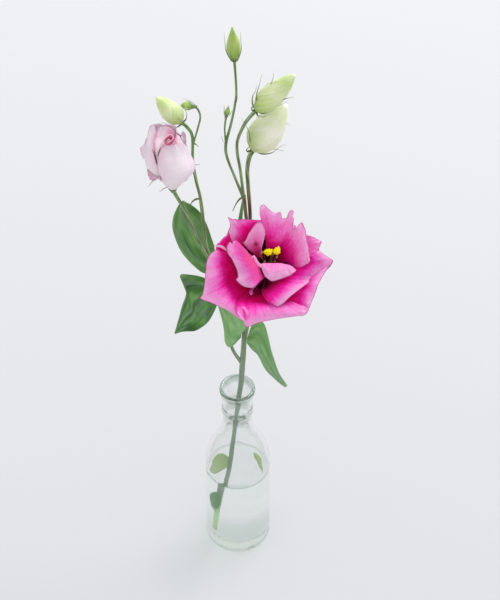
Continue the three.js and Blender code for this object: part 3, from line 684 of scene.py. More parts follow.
def make_stems():
    mesh = new_mesh()
    stalk(mesh, MAIN_STEM, MAIN_STEM_RADII, sides=20, steps_each=6)
    stalk(mesh, CUT_STUB, [0.95, 0.85, 0.8], sides=12)
    for line, radii, ruddy in BRANCHES.values():
        stalk(mesh, line, radii, sides=12, steps_each=6, marks=(0, 0, ruddy))
    piece("stem_and_branches", mesh, stem_finish, ["stems"])


make_stems()

# %% [markdown]
# ## Where the buds and flowers sit
# Each bud has a foot, an axis that it grows along, and the measures of its form and its sepals. The two
# flowers have frames of their own instead. Their faces look up and towards the viewer, so their petals
# can be written as on a page: X to the right, Y up the face and Z out of it.

# %% Places of buds and flowers
BUDS = {
    "bud_top": dict(
        foot=(-1.05, 50.4, 371.2), axis=(-0.05, 0.12, 1), length=21.7, radius=3.9, form="slim", seat=1.5,
        sepals=dict(length=17, clear=4.2, spread=0.3, turn=20, width=1.1)),
    "bud_left": dict(
        foot=(-31, 36, 335.9), axis=(-0.57, 0.04, 0.82), length=22.5, radius=5.6, form="full", seat=1.7,
        sepals=dict(length=12, clear=5.9, spread=1.6, turn=10)),
    "bud_small_left": dict(
        foot=(-24.2, 31.9, 352.5), axis=(-0.86, -0.1, 0.2), length=6.6, radius=2.5, form="full", seat=1.1,
        sepals=dict(count=3, length=6, clear=2.6, spread=0.8, turn=45, width=1)),
    "bud_tiny": dict(
        foot=(-5.45, 39.9, 337.2), axis=(0.18, 0.12, 0.95), length=6.4, radius=1.5, form="slim", seat=0.9,
        sepals=dict(count=3, length=8, clear=1.8, spread=1, turn=80, width=1)),
    "bud_upper_right": dict(
        foot=(11.7, 29.9, 352.2), axis=(0.574, -0.05, 0.82), length=35, radius=6.6, form="full", seat=1.8,
        sepals=dict(length=15, clear=6.9, spread=2, turn=65)),
    "bud_lower_right": dict(
        foot=(9.9, 38.8, 311.2), axis=(0.465, 0.03, 0.885), length=38, radius=9.4, form="full", seat=2,
        sepals=dict(count=3, length=17, clear=9.9, spread=2.6, turn=-15)),
}
PALE_FRAME = standing((-35.5, 13.8, 304.9), (-0.04, 0.05, 1))
FLOWER_CENTRE = Vector((16.6, -14, 271))
FLOWER_TILT = math.radians(50)
FLOWER_AXES = Matrix((
    (1, 0, 0),
    (0, math.sin(FLOWER_TILT), -math.cos(FLOWER_TILT)),
    (0, math.cos(FLOWER_TILT), math.sin(FLOWER_TILT)),
))
FLOWER_FRAME = Matrix.Translation(FLOWER_CENTRE) @ FLOWER_AXES.to_4x4()
PALE_FACE = Matrix.Translation(PALE_FRAME @ Vector((0, 0, 20))) @ FLOWER_AXES.to_4x4()
FLOWER_SEAT = FLOWER_FRAME @ Matrix.Translation((1.5, -1, -31.4))


def flower_points(points):
    return carried(FLOWER_FRAME, points)


def pale_points(points):
    return carried(PALE_FACE, points)


# %% [markdown]
# ## Sepals, bracts and flower feet
# Lisianthus sepals are hair-thin: five narrow green keels that stand off the bud and end in pale
# threads. Each is a narrow blade between two margins that meet at its tip. A few are long and arch well
# away, so those are laid along lines of their own. The bracts at the forks are the same kind of blade,
# wider and shorter. A flower's green foot is a short flared stalk.

# %% Sepals, bracts and feet
BRACTS = [
    ([(4, 29, 281.6), (1.4, 27.5, 280.6), (-0.6, 26.6, 277.4), (-2.4, 26, 272.4)], 1),
    ([(-20.2, 24, 285), (-23, 22, 287), (-25.6, 21, 285), (-27.2, 20.4, 279.4)], 0.9),
    ([(-5.6, 36, 316.5), (-7.4, 35.6, 320), (-8.4, 35.4, 324.5)], 0.7),
    ([(-24.4, 32, 322), (-22.8, 30.6, 323.4), (-21.4, 29.8, 322)], 0.7),
    ([(-0.7, 43, 342.6), (0.2, 42.6, 346), (0.6, 42.6, 349.4)], 0.7),
]
LONG_SEPAL = [(0, 0, -1), (-8, 4, 2), (-19, 9, 10), (-30.6, 13, 20)]
PALE_THREADS = [
    [(-0.5, -12.4, -13), (-2.2, -13, -9), (-4.4, -14.2, -6), (-6.4, -15.8, -5)],
    [(-7, -8, 1), (-9, -9.2, 3), (-10.6, -11, 3.4), (-12.4, -13.2, 3)],
    [(9, -1, -3), (12.4, -0.8, 0), (14.4, -1, 1), (16.4, -0.6, 1.6)],
]
BUD_THREADS = [
    ([(11.3, 29, 353), (11.2, 27, 366.4), (12.5, 26.5, 374), (14.1, 27, 383.3)], 0.4, (1, 0, 0)),
    ([(18.2, 30.5, 369), (20, 28, 378), (20.6, 28, 384.6)], 0.22, (1, 0, 0)),
    ([(23.4, 24.5, 364.3), (27.2, 24.5, 366.2), (31.6, 27, 364.8)], 0.35, (0, 0, 1)),
    ([(24, 35, 338), (27.6, 36, 334.6), (30.4, 38, 330.5)], 0.25, (0, 0, 1)),
    ([(9.9, 38.6, 311.2), (14.3, 34, 315.8), (19.9, 33, 317), (26.4, 33, 315.2)], 0.6, (0, -0.3, 1)),
    ([(9.9, 38.6, 311.6), (7.9, 34, 320.6), (6.8, 33, 331.4), (2.9, 33, 341.9)], 0.5, (1, 0, 0)),
]
SEPAL_HALVES = [0.5, 0.42, 0.24, 0.1, 0.03]
THREAD_COLOURS = [
    (0.0, (0.14, 0.20, 0.06)), (0.45, (0.25, 0.32, 0.13)), (0.8, (0.55, 0.58, 0.42)),
    (1.0, (0.72, 0.70, 0.62)),
]


def sepals(mesh, frame, foot, length, clear, spread, count=5, width=1.3, turn=0):
    """A ring of narrow sepals that bow clear of the bud, in its own frame."""
    for index in range(count):
        angle = turn + 360 * index / count
        reach = length * (0.85 + 0.15 * math.sin(3 * index + turn))
        line = [
            polar(foot * 0.6, angle, -1.3),
            polar(clear * 0.6, angle, -0.5),
            polar(clear + 0.2, angle + 3, reach * 0.28),
            polar(clear + 0.3 + 0.4 * spread, angle + 6, reach * 0.65),
            polar(clear + 1.5 * spread, angle + 8, reach),
        ]
        aside = polar(width, angle + 90, 0)
        left = [frame @ (point + aside * half) for point, half in zip(line, SEPAL_HALVES)]
        right = [frame @ (point - aside * half) for point, half in zip(line, SEPAL_HALVES)]
        blade(mesh, left, right, rows=14, columns=2, marks=lambda side, v, edge: (v, edge, 1))


def thread(mesh, line, half, aside=(-0.3, -0.2, 1)):
    """One long narrow sepal along a line, half its width given at the foot and measured along aside."""
    last = len(line) - 1
    widths = [half * (1 - 0.9 * index / last) for index in range(len(line))]
    left = [point + Vector(aside) * width for point, width in zip(line, widths)]
    right = [point - Vector(aside) * width for point, width in zip(line, widths)]
    blade(mesh, left, right, rows=24, columns=2, marks=lambda side, v, edge: (v * 0.7, edge, 1))


def bract(mesh, line, half):
    """A short blade at a fork, a little narrower where it roots and tapering to its tip."""
    widths = [half * (1 - index / len(line) if index else 0.6) for index in range(len(line))]
    left = [(x, y, z + width) for (x, y, z), width in zip(line, widths)]
    right = [(x + 0.2, y, z - width) for (x, y, z), width in zip(line, widths)]
    blade(mesh, left, right, rows=12, columns=4, marks=lambda side, v, edge: (v, edge, 0))


def green_foot(mesh, frame, radii, top):
    points = [frame @ Vector((0, 0, z)) for z in (top - 3, top - 1.4, top)]
    stalk(mesh, points, radii, sides=16, steps_each=5)


def sepal_skin():
    """Dark green at the foot, fading to a pale dry thread at the tip."""
    material, tree, shader = finish("sepal_skin", Roughness=0.5, Specular_IOR_Level=0.35)
    dry = ramp(tree, mark(tree, "depth"), THREAD_COLOURS)
    leafy = ramp(tree, streaks(tree, 6, 8), [(0.3, (0.09, 0.14, 0.05)), (0.7, (0.20, 0.27, 0.11))])
    paint(tree, shader, mix(tree, mark(tree, "tone"), leafy, dry))
    relief(tree, shader, streaks(tree, 8, 5), strength=0.3, depth=0.0003)
    return material


def make_sepals():
    mesh = new_mesh()
    for bud in BUDS.values():
        sepals(mesh, standing(bud["foot"], bud["axis"]), bud["seat"], **bud["sepals"])
    sepals(mesh, FLOWER_SEAT, 3, length=16, clear=9, spread=4, width=1.8, turn=30)
    for line in PALE_THREADS:
        thread(mesh, pale_points(line), 0.35)
    for line, half, aside in BUD_THREADS:
        thread(mesh, vectors(line), half, aside)
    thread(mesh, carried(FLOWER_SEAT, LONG_SEPAL), 0.8)
    for line, half in BRACTS:
        bract(mesh, line, half)
    piece("sepals_and_bracts", mesh, sepal_skin(), thickness=0.26)


def make_feet():
    mesh = new_mesh()
    for bud in BUDS.values():
        seat = bud["seat"]
        green_foot(mesh, standing(bud["foot"], bud["axis"]), [0.75, seat * 0.75, seat * 0.98], 0.3)
    green_foot(mesh, PALE_FRAME, [1.1, 1.9, 2.5], 0.4)
    green_foot(mesh, FLOWER_SEAT, [1.3, 2.2, 3], 0.4)
    piece("flower_feet", mesh, stem_finish)


make_sepals()
make_feet()

# %% [markdown]
# ## Buds
# A bud is five petals rolled round one another, so its skin steps at the edge of each petal and the
# steps climb it in a slow spiral. A lathe would give a smooth egg. Here the round grid is twisted with
# the spiral, and its radius steps at the same few columns all the way up, so the edges stay crisp.

# %% Buds
FORMS = {
    "slim": [0.40, 0.8, 0.98, 1, 0.9, 0.72, 0.5, 0.28, 0.09],
    "full": [0.34, 0.78, 0.97, 1, 0.95, 0.83, 0.66, 0.42, 0.13],
}
PETALS_IN_BUD = 5
COLUMNS_IN_PETAL = 20
BUD_TWIST = 150
BUD_STEP = 0.07


def furled(name, bud, material):
    mesh = new_mesh()
    frame = standing(bud["foot"], bud["axis"])
    form = FORMS[bud["form"]]

    def place(u, v):
        phase = (u * PETALS_IN_BUD) % 1 if u < 1 else 0
        lap = phase - 0.5 + 0.6 * bump_at(phase, 0, 0.06)
        crease = 1 + BUD_STEP * lap * math.sin(math.pi * v)
        ripple = 1 + 0.004 * math.sin(2 * math.pi * u * 15 + 3 * v)
        radius = bud["radius"] * spline(form, v) * crease * ripple
        point = frame @ polar(radius, 360 * u + BUD_TWIST * v, bud["length"] * v)
        return point, (v, phase, 0)

    close_tube(mesh, lay_grid(mesh, PETALS_IN_BUD * COLUMNS_IN_PETAL, 56, place))
    piece("furled_" + name, mesh, material, [name])


def bud_skin(name, deep, mid, light, left_shade=0.0):
    """Soft green petals that pale towards the tip, with faint lines and a lighter edge to each petal.

    The last argument paints the bud's left side, turned from the lamp, towards its deep green: painted shade.
    """
    material, tree, shader = finish(
        name, Roughness=0.5, Specular_IOR_Level=0.3, Subsurface_Weight=0.25, Subsurface_Radius=(1, 1, 0.6),
        Subsurface_Scale=0.002, Sheen_Weight=0.15)
    shift = maths(tree, "MULTIPLY_ADD", streaks(tree, 24, 2.5), 0.35, -0.17)
    height = maths(tree, "ADD", mark(tree, "depth"), shift)
    skin = ramp(tree, height, [(0.0, deep), (0.3, mid), (0.62, light), (0.85, mid), (1.0, light)])
    lap = ramp(tree, mark(tree, "edge"), [(0.0, 0.55), (0.07, 0.0), (0.86, 0.0), (1.0, 0.3)])
    pale = tuple(min(1, channel * 1.25 + 0.05) for channel in light)
    skin = mix(tree, lap, skin, pale)
    # Painted shade: the side that faces left, away from the light, is darkened towards the deep green.
    if left_shade:
        left = dot(tree, node(tree, "TexCoord", output="Normal"), (-1, 0, 0))
        left = node(tree, "MapRange", {"Value": left, "From Min": 0.1, "From Max": 0.9, "To Max": left_shade})
        skin = mix(tree, left, skin, deep)
    paint(tree, shader, skin)
    relief(tree, shader, streaks(tree, 90, 3), strength=0.25, depth=0.0003)
    return material


green_bud = bud_skin("green_bud", (0.33, 0.50, 0.08), (0.60, 0.74, 0.28), (0.79, 0.87, 0.54))
cream_bud = bud_skin("cream_bud", (0.40, 0.54, 0.15), (0.80, 0.86, 0.56), (0.96, 0.97, 0.82), left_shade=0.6)
young_bud = bud_skin("young_bud", (0.10, 0.19, 0.03), (0.24, 0.40, 0.07), (0.46, 0.60, 0.18))
top_bud = bud_skin("top_bud", (0.19, 0.36, 0.04), (0.33, 0.52, 0.09), (0.45, 0.57, 0.17))
BUD_FINISHES = {
    "bud_lower_right": cream_bud, "bud_small_left": young_bud, "bud_tiny": young_bud, "bud_top": top_bud,
}
for name, bud in BUDS.items():
    furled(name, bud, BUD_FINISHES.get(name, green_bud))

# %% [markdown]
# ## Leaves
# A lisianthus leaf is broad, smooth and waxy, blue-green, with a sunk midrib and a few faint veins that
# run with it from foot to tip. It could be a flat outline with a bump map, but the light would still
# fall on it as on a flat card. So the midrib and veins are real grooves in a fine sheet that ripples
# along its margins, and the finish only adds their colour. Its clouds and its waxy bloom are noise that
# is drawn out along the blade; the bloom's pale streaks are partly painted highlights on the wax. How lit
# each leaf looks is painted too: its tone mixes a shaded green with a lit one, darkest under the flower.

# %% Leaf finish
LEAF_SHADED = [(0.34, (0.012, 0.085, 0.008)), (0.5, (0.05, 0.20, 0.022)), (0.66, (0.14, 0.37, 0.06))]
LEAF_LIT = [(0.34, (0.15, 0.43, 0.08)), (0.66, (0.34, 0.61, 0.22))]
LEAF_BLOOM_AND_HIGHLIGHT = (0.34, 0.47, 0.38)
LOW_GREEN = (0.33, 0.45, 0.36)
VEIN_GREEN = (0.30, 0.45, 0.20)
MARGIN_GREEN = (0.22, 0.36, 0.18)
LOW_LEAVES = (0.185, 0.15)


def leaf_skin():
    material, tree, shader = finish(
        "leaf_skin", Roughness=0.44, Specular_IOR_Level=0.4, Coat_Weight=0.06, Coat_Roughness=0.35,
        Subsurface_Weight=0.08, Subsurface_Radius=(0.4, 1, 0.3), Subsurface_Scale=0.001)
    cloud = streaks(tree, 4.5, 3.2, 2.0)
    # Painted shade: each leaf's tone mixes a shaded green with a lit one.
    skin = mix(tree, mark(tree, "tone"), ramp(tree, cloud, LEAF_SHADED), ramp(tree, cloud, LEAF_LIT))
    # The waxy bloom's streaks are partly its real pale colour and partly painted highlights.
    bloom_and_highlight = ramp(tree, streaks(tree, 5, 1.8), [(0.46, 0.0), (0.7, 0.55)])
    skin = mix(tree, bloom_and_highlight, skin, LEAF_BLOOM_AND_HIGHLIGHT)
    low = maths(tree, "MULTIPLY", height_mask(tree, *LOW_LEAVES), 0.4)
    skin = mix(tree, low, skin, LOW_GREEN)
    vein = ramp(tree, mark(tree, "depth"), [(0.0, 0.0), (1.0, 0.3)])
    skin = mix(tree, vein, skin, VEIN_GREEN)
    rim = ramp(tree, mark(tree, "edge"), [(0.0, 0.4), (0.35, 0.0)])
    skin = mix(tree, rim, skin, MARGIN_GREEN)
    paint(tree, shader, skin)
    relief(tree, shader, streaks(tree, 60, 5), strength=0.25, depth=0.0003)
    return material


# %% Leaves
# A leaf's tone paints how lit it looks: 0 is the shaded green, 1 the lit one.
LEAVES = {
    "leaf_behind": dict(
        left=[(-13.7, 16, 236), (-18.2, 22, 222.6), (-24.9, 25, 225.6), (-30.5, 26, 233.6), (-34.7, 26, 246),
              (-36.7, 25, 259), (-35.9, 24, 272), (-31.2, 24, 282.4)],
        right=[(-13.6, 16.3, 239.4), (-13, 24, 243), (-14.6, 26, 250), (-17.6, 28, 260), (-20.8, 28.6, 268.6),
               (-26, 27, 276.4), (-30.2, 25, 282.8)],
        belly=(0, 1, 1.5, 1, 0), wave=(0.8, 3, 0), tone=0.3),
    "leaf_low_left": dict(
        left=[(-12.8, 11.2, 224.6), (-18.9, 8, 235), (-26.8, 6, 240), (-32.2, 3, 242.4), (-29, 0, 231.8),
              (-31.8, -3, 220.6), (-36.2, -6, 202)],
        right=[(-12.2, 10.8, 219.6), (-11.6, 5, 214.8), (-13.9, 2, 209.6), (-18, -1, 204.2),
               (-23.2, -4, 202.3), (-29.6, -5, 202.4), (-35.7, -6, 201)],
        belly=(0, 1, 1.5, 1, 0), wave=(0.5, 3, 1), tone=0.0),
    "leaf_centre": dict(
        left=[(2.1, 10.2, 178), (-3.6, 4, 177), (-6.8, 0, 185.4), (-7.5, -3, 202), (-8.9, -5, 215.3),
              (-11.9, -7, 233.9)],
        right=[(2.2, 10.8, 181.6), (5.2, 3, 195.6), (3.5, -1, 209.6), (-1, -4, 221.3), (-6.2, -6, 229.1),
               (-11.3, -7, 234.8)],
        belly=(0, -1, -1.5, -1, 0), wave=(0.4, 2, 0), tone=0.8),
    "leaf_right": dict(
        left=[(6.2, 9, 179.6), (9.4, 6, 195.7), (14.9, 3, 201), (18.4, 1, 189.8), (20.5, 0, 177),
              (22.7, -1, 167), (26, -3, 158.2), (29.6, -4, 150)],
        right=[(5.8, 8.6, 175), (8.6, 6, 172.4), (11.7, 4, 170.3), (16.5, 0, 162), (21.8, -2, 154.6),
               (28.8, -4, 149)],
        belly=(0, 1, 1, 0.5, 0), wave=(0.5, 3, 0.5), tone=0.55),
    "leaf_narrow": dict(
        left=[(3.9, 18.9, 232), (-0.4, 25, 245), (0.2, 29, 256), (3.2, 34, 273.8)],
        right=[(3.9, 20.2, 232), (2.6, 27.5, 245), (3, 31, 256), (3.9, 34.4, 274.2)],
        belly=(0, 0.4, 0.4, 0), wave=(0, 0, 0), tone=0.3),
}
INNER_VEIN = 0.38
OUTER_VEIN = 0.68
LEAF_THICKNESS = 0.42


def leaf_groove(side, v):
    """The midrib and veins are sunk into the blade, and run out before its foot and tip."""
    out = abs(side)
    open_leaf = rise(0, 0.12, v) * rise(1, 0.85, v)
    midrib = 0.45 * bump_at(out, 0, 0.07)
    veins = 0.14 * (bump_at(out, INNER_VEIN, 0.05) + bump_at(out, OUTER_VEIN, 0.04))
    return -(midrib + veins) * open_leaf, 0


def vein_mark(side, v):
    out = abs(side)
    midrib = bump_at(out, 0, 0.045)
    inner = 0.5 * bump_at(out, INNER_VEIN, 0.03)
    outer = 0.4 * bump_at(out, OUTER_VEIN, 0.03)
    return max(midrib, inner, outer) * rise(1.05, 0.8, v)


def make_leaf(name, left, right, belly, wave, tone, material):
    mesh = new_mesh()
    blade(mesh, left, right, rows=56, columns=36, belly=belly, wave=wave, shape=leaf_groove,
          marks=lambda side, v, edge: (vein_mark(side, v), edge, tone))
    piece("dressed_" + name, mesh, material, [name], thickness=LEAF_THICKNESS)


leaf_finish = leaf_skin()
for name, leaf in LEAVES.items():
    make_leaf(name, material=leaf_finish, **leaf)

# %% [markdown]
# ## Leaf remnants in the bottle
# Where the stem meets the water, scraps of small leaves were left on it. Two lie near the glass at the
# surface, and a darker one hangs below it. They show as soft green patches, so they take a finish of
# their own. Each has its two margins and a shade.

# %% Leaf remnants
REMNANTS = {
    "left": ([(-5.2, 2.4, 71), (-9, 4.2, 73), (-13, 4, 72.4), (-16, 1.2, 69.6)],
             [(-5.2, 0, 66.4), (-9, -2, 64), (-13.4, -3.4, 62.8), (-16.4, -2, 63.6)], 0.45),
    "right": ([(10, 5, 73), (12.6, 4.4, 72.6), (14.6, 2.8, 71), (15.6, 0.8, 68.4)],
              [(10.4, 4, 70), (12.4, 2, 67.6), (13.8, -0.4, 64.6), (14.8, -2.4, 61.8)], 0.5),
    "below": ([(-7, -5, 51), (-10, -7, 52.6), (-13.4, -7.4, 50.4), (-15.6, -7, 46)],
              [(-8.4, -7, 40), (-10.4, -8.4, 36.4), (-13, -8.2, 36.6), (-15.4, -7.4, 41)], 0.0),
}
scrap_finish = bud_skin("leaf_scrap", (0.02, 0.20, 0.03), (0.24, 0.40, 0.15), (0.40, 0.50, 0.28))


def make_remnants():
    mesh = new_mesh()
    for left, right, shade in REMNANTS.values():
        blade(mesh, left, right, rows=24, columns=10, belly=(0, 0.8, 0.5),
              marks=lambda side, v, edge: (shade, 0.5, 0))
    piece("leaf_remnants", mesh, scrap_finish, thickness=0.4)


make_remnants()

# %% [markdown]
# ## Petal colour
# The open flower's colour comes from its depth: a deep crimson where the petals root, darkened to nearly
# black by painted shade deep in the throat, a hot magenta up the throat, and a soft pink with lilac at the
# lips. A colour ramp over the depth mark does it, shifted by noise drawn out along the petal so that the
# change breaks into streaks, and by even noise, coarse and fine, for clouds and grain. A darker thread of
# painted shade runs round each margin, where petals meet and overlap. The backs are paler, and turn green
# towards the foot. Their colour is kept to where the surface turns away both from the flower's middle and
# from the side it faces, so none of it shows inside the flower. Thin petals pass some light, so a little
# subsurface light goes in, and a low sheen gives the velvet look that they have against the light.

# %% Petal finish
def outer_side(tree):
    """1 on the back of a petal, which turns away from the flower's middle and from the side it faces."""
    normal = node(tree, "TexCoord", output="Normal")
    place = node(tree, "TexCoord", output="Object")
    toward = dot(tree, normal, FLOWER_AXES.col[2])
    behind = node(tree, "MapRange", {"Value": toward, "From Min": -0.02, "From Max": -0.25})
    away = node(tree, "VectorMath", {0: place, 1: FLOWER_CENTRE * MM}, operation="SUBTRACT")
    outward = dot(tree, normal, away)
    outward = node(tree, "MapRange", {"Value": outward, "From Min": 0.0, "From Max": 0.003})
    return maths(tree, "MULTIPLY", behind, outward)


def petal_skin(name, stops, rim, pale, glow, outside=None):
    """stops run from the shaded root to the lip, rim is a margin line of painted shade, pale tints by tone.
    """
    material, tree, shader = finish(
        name, Roughness=0.6, Specular_IOR_Level=0.08, Subsurface_Weight=glow,
        Subsurface_Radius=(1, 0.35, 0.6), Subsurface_Scale=0.002, Sheen_Weight=0.05, Sheen_Roughness=0.45,
        Sheen_Tint=(1, 0.6, 0.85, 1))
    veins = streaks(tree, 34, 2.2)
    cloud = specks(tree, 130, 2)
    grain = specks(tree, 750, 2)
    level = mark(tree, "depth")
    for pattern, spread in ((veins, 0.3), (cloud, 0.3), (grain, 0.16)):
        shift = maths(tree, "MULTIPLY_ADD", pattern, spread, -spread / 2)
        level = maths(tree, "ADD", level, shift)
    skin = mix(tree, mark(tree, "tone"), ramp(tree, level, stops), pale)
    if outside:
        back = ramp(tree, mark(tree, "depth"), outside)
        back = mix(tree, ramp(tree, veins, [(0.35, 0.0), (0.7, 0.6)]), back, pale)
        skin = mix(tree, outer_side(tree), skin, back)
    # Painted shade: a darker line along every margin, where petals meet.
    line = ramp(tree, mark(tree, "edge"), [(0.0, 0.95), (0.3, 0.6), (0.6, 0.0)])
    paint(tree, shader, mix(tree, line, skin, rim))
    relief(tree, shader, streaks(tree, 70, 3), strength=0.3, depth=0.0004)
    return material


# The first stops are the throat's crimson, darkened to nearly black by painted shade.
MAGENTA = [
    (0.0, (0.002, 0.0004, 0.0008)), (0.12, (0.10, 0.001, 0.02)), (0.26, (0.60, 0.001, 0.12)),
    (0.42, (0.80, 0.002, 0.22)), (0.56, (0.97, 0.012, 0.37)), (0.70, (0.99, 0.11, 0.51)),
    (0.84, (0.99, 0.28, 0.63)), (1.0, (0.98, 0.44, 0.72)),
]
OUTSIDE_PINK = [
    (0.0, (0.38, 0.50, 0.20)), (0.04, (0.62, 0.46, 0.34)), (0.08, (0.74, 0.22, 0.38)),
    (0.4, (0.80, 0.12, 0.40)), (1.0, (0.92, 0.32, 0.60)),
]
magenta_petal = petal_skin(
    "magenta_petal", MAGENTA, rim=(0.42, 0.04, 0.24), pale=(0.95, 0.40, 0.70), glow=0.5,
    outside=OUTSIDE_PINK)

# %% [markdown]
# ## The open flower
# Twelve petals and six small curls open from one cup. Each is a blade between two margins, and a petal
# has the outline of its lip as well, all written in the flower's frame. They follow the imported part's
# petals. A fine grid adds what the solids are too coarse for: pleats that fan
# from the root, margins that ripple, and lips that roll back. The depth mark runs from 0 at the root to
# 1 at the lip, and each petal says how far up its throat colour climbs, which also paints the shade deep
# in the throat. Some petals paint one margin deeper, a painted shade where it lies under its neighbours.

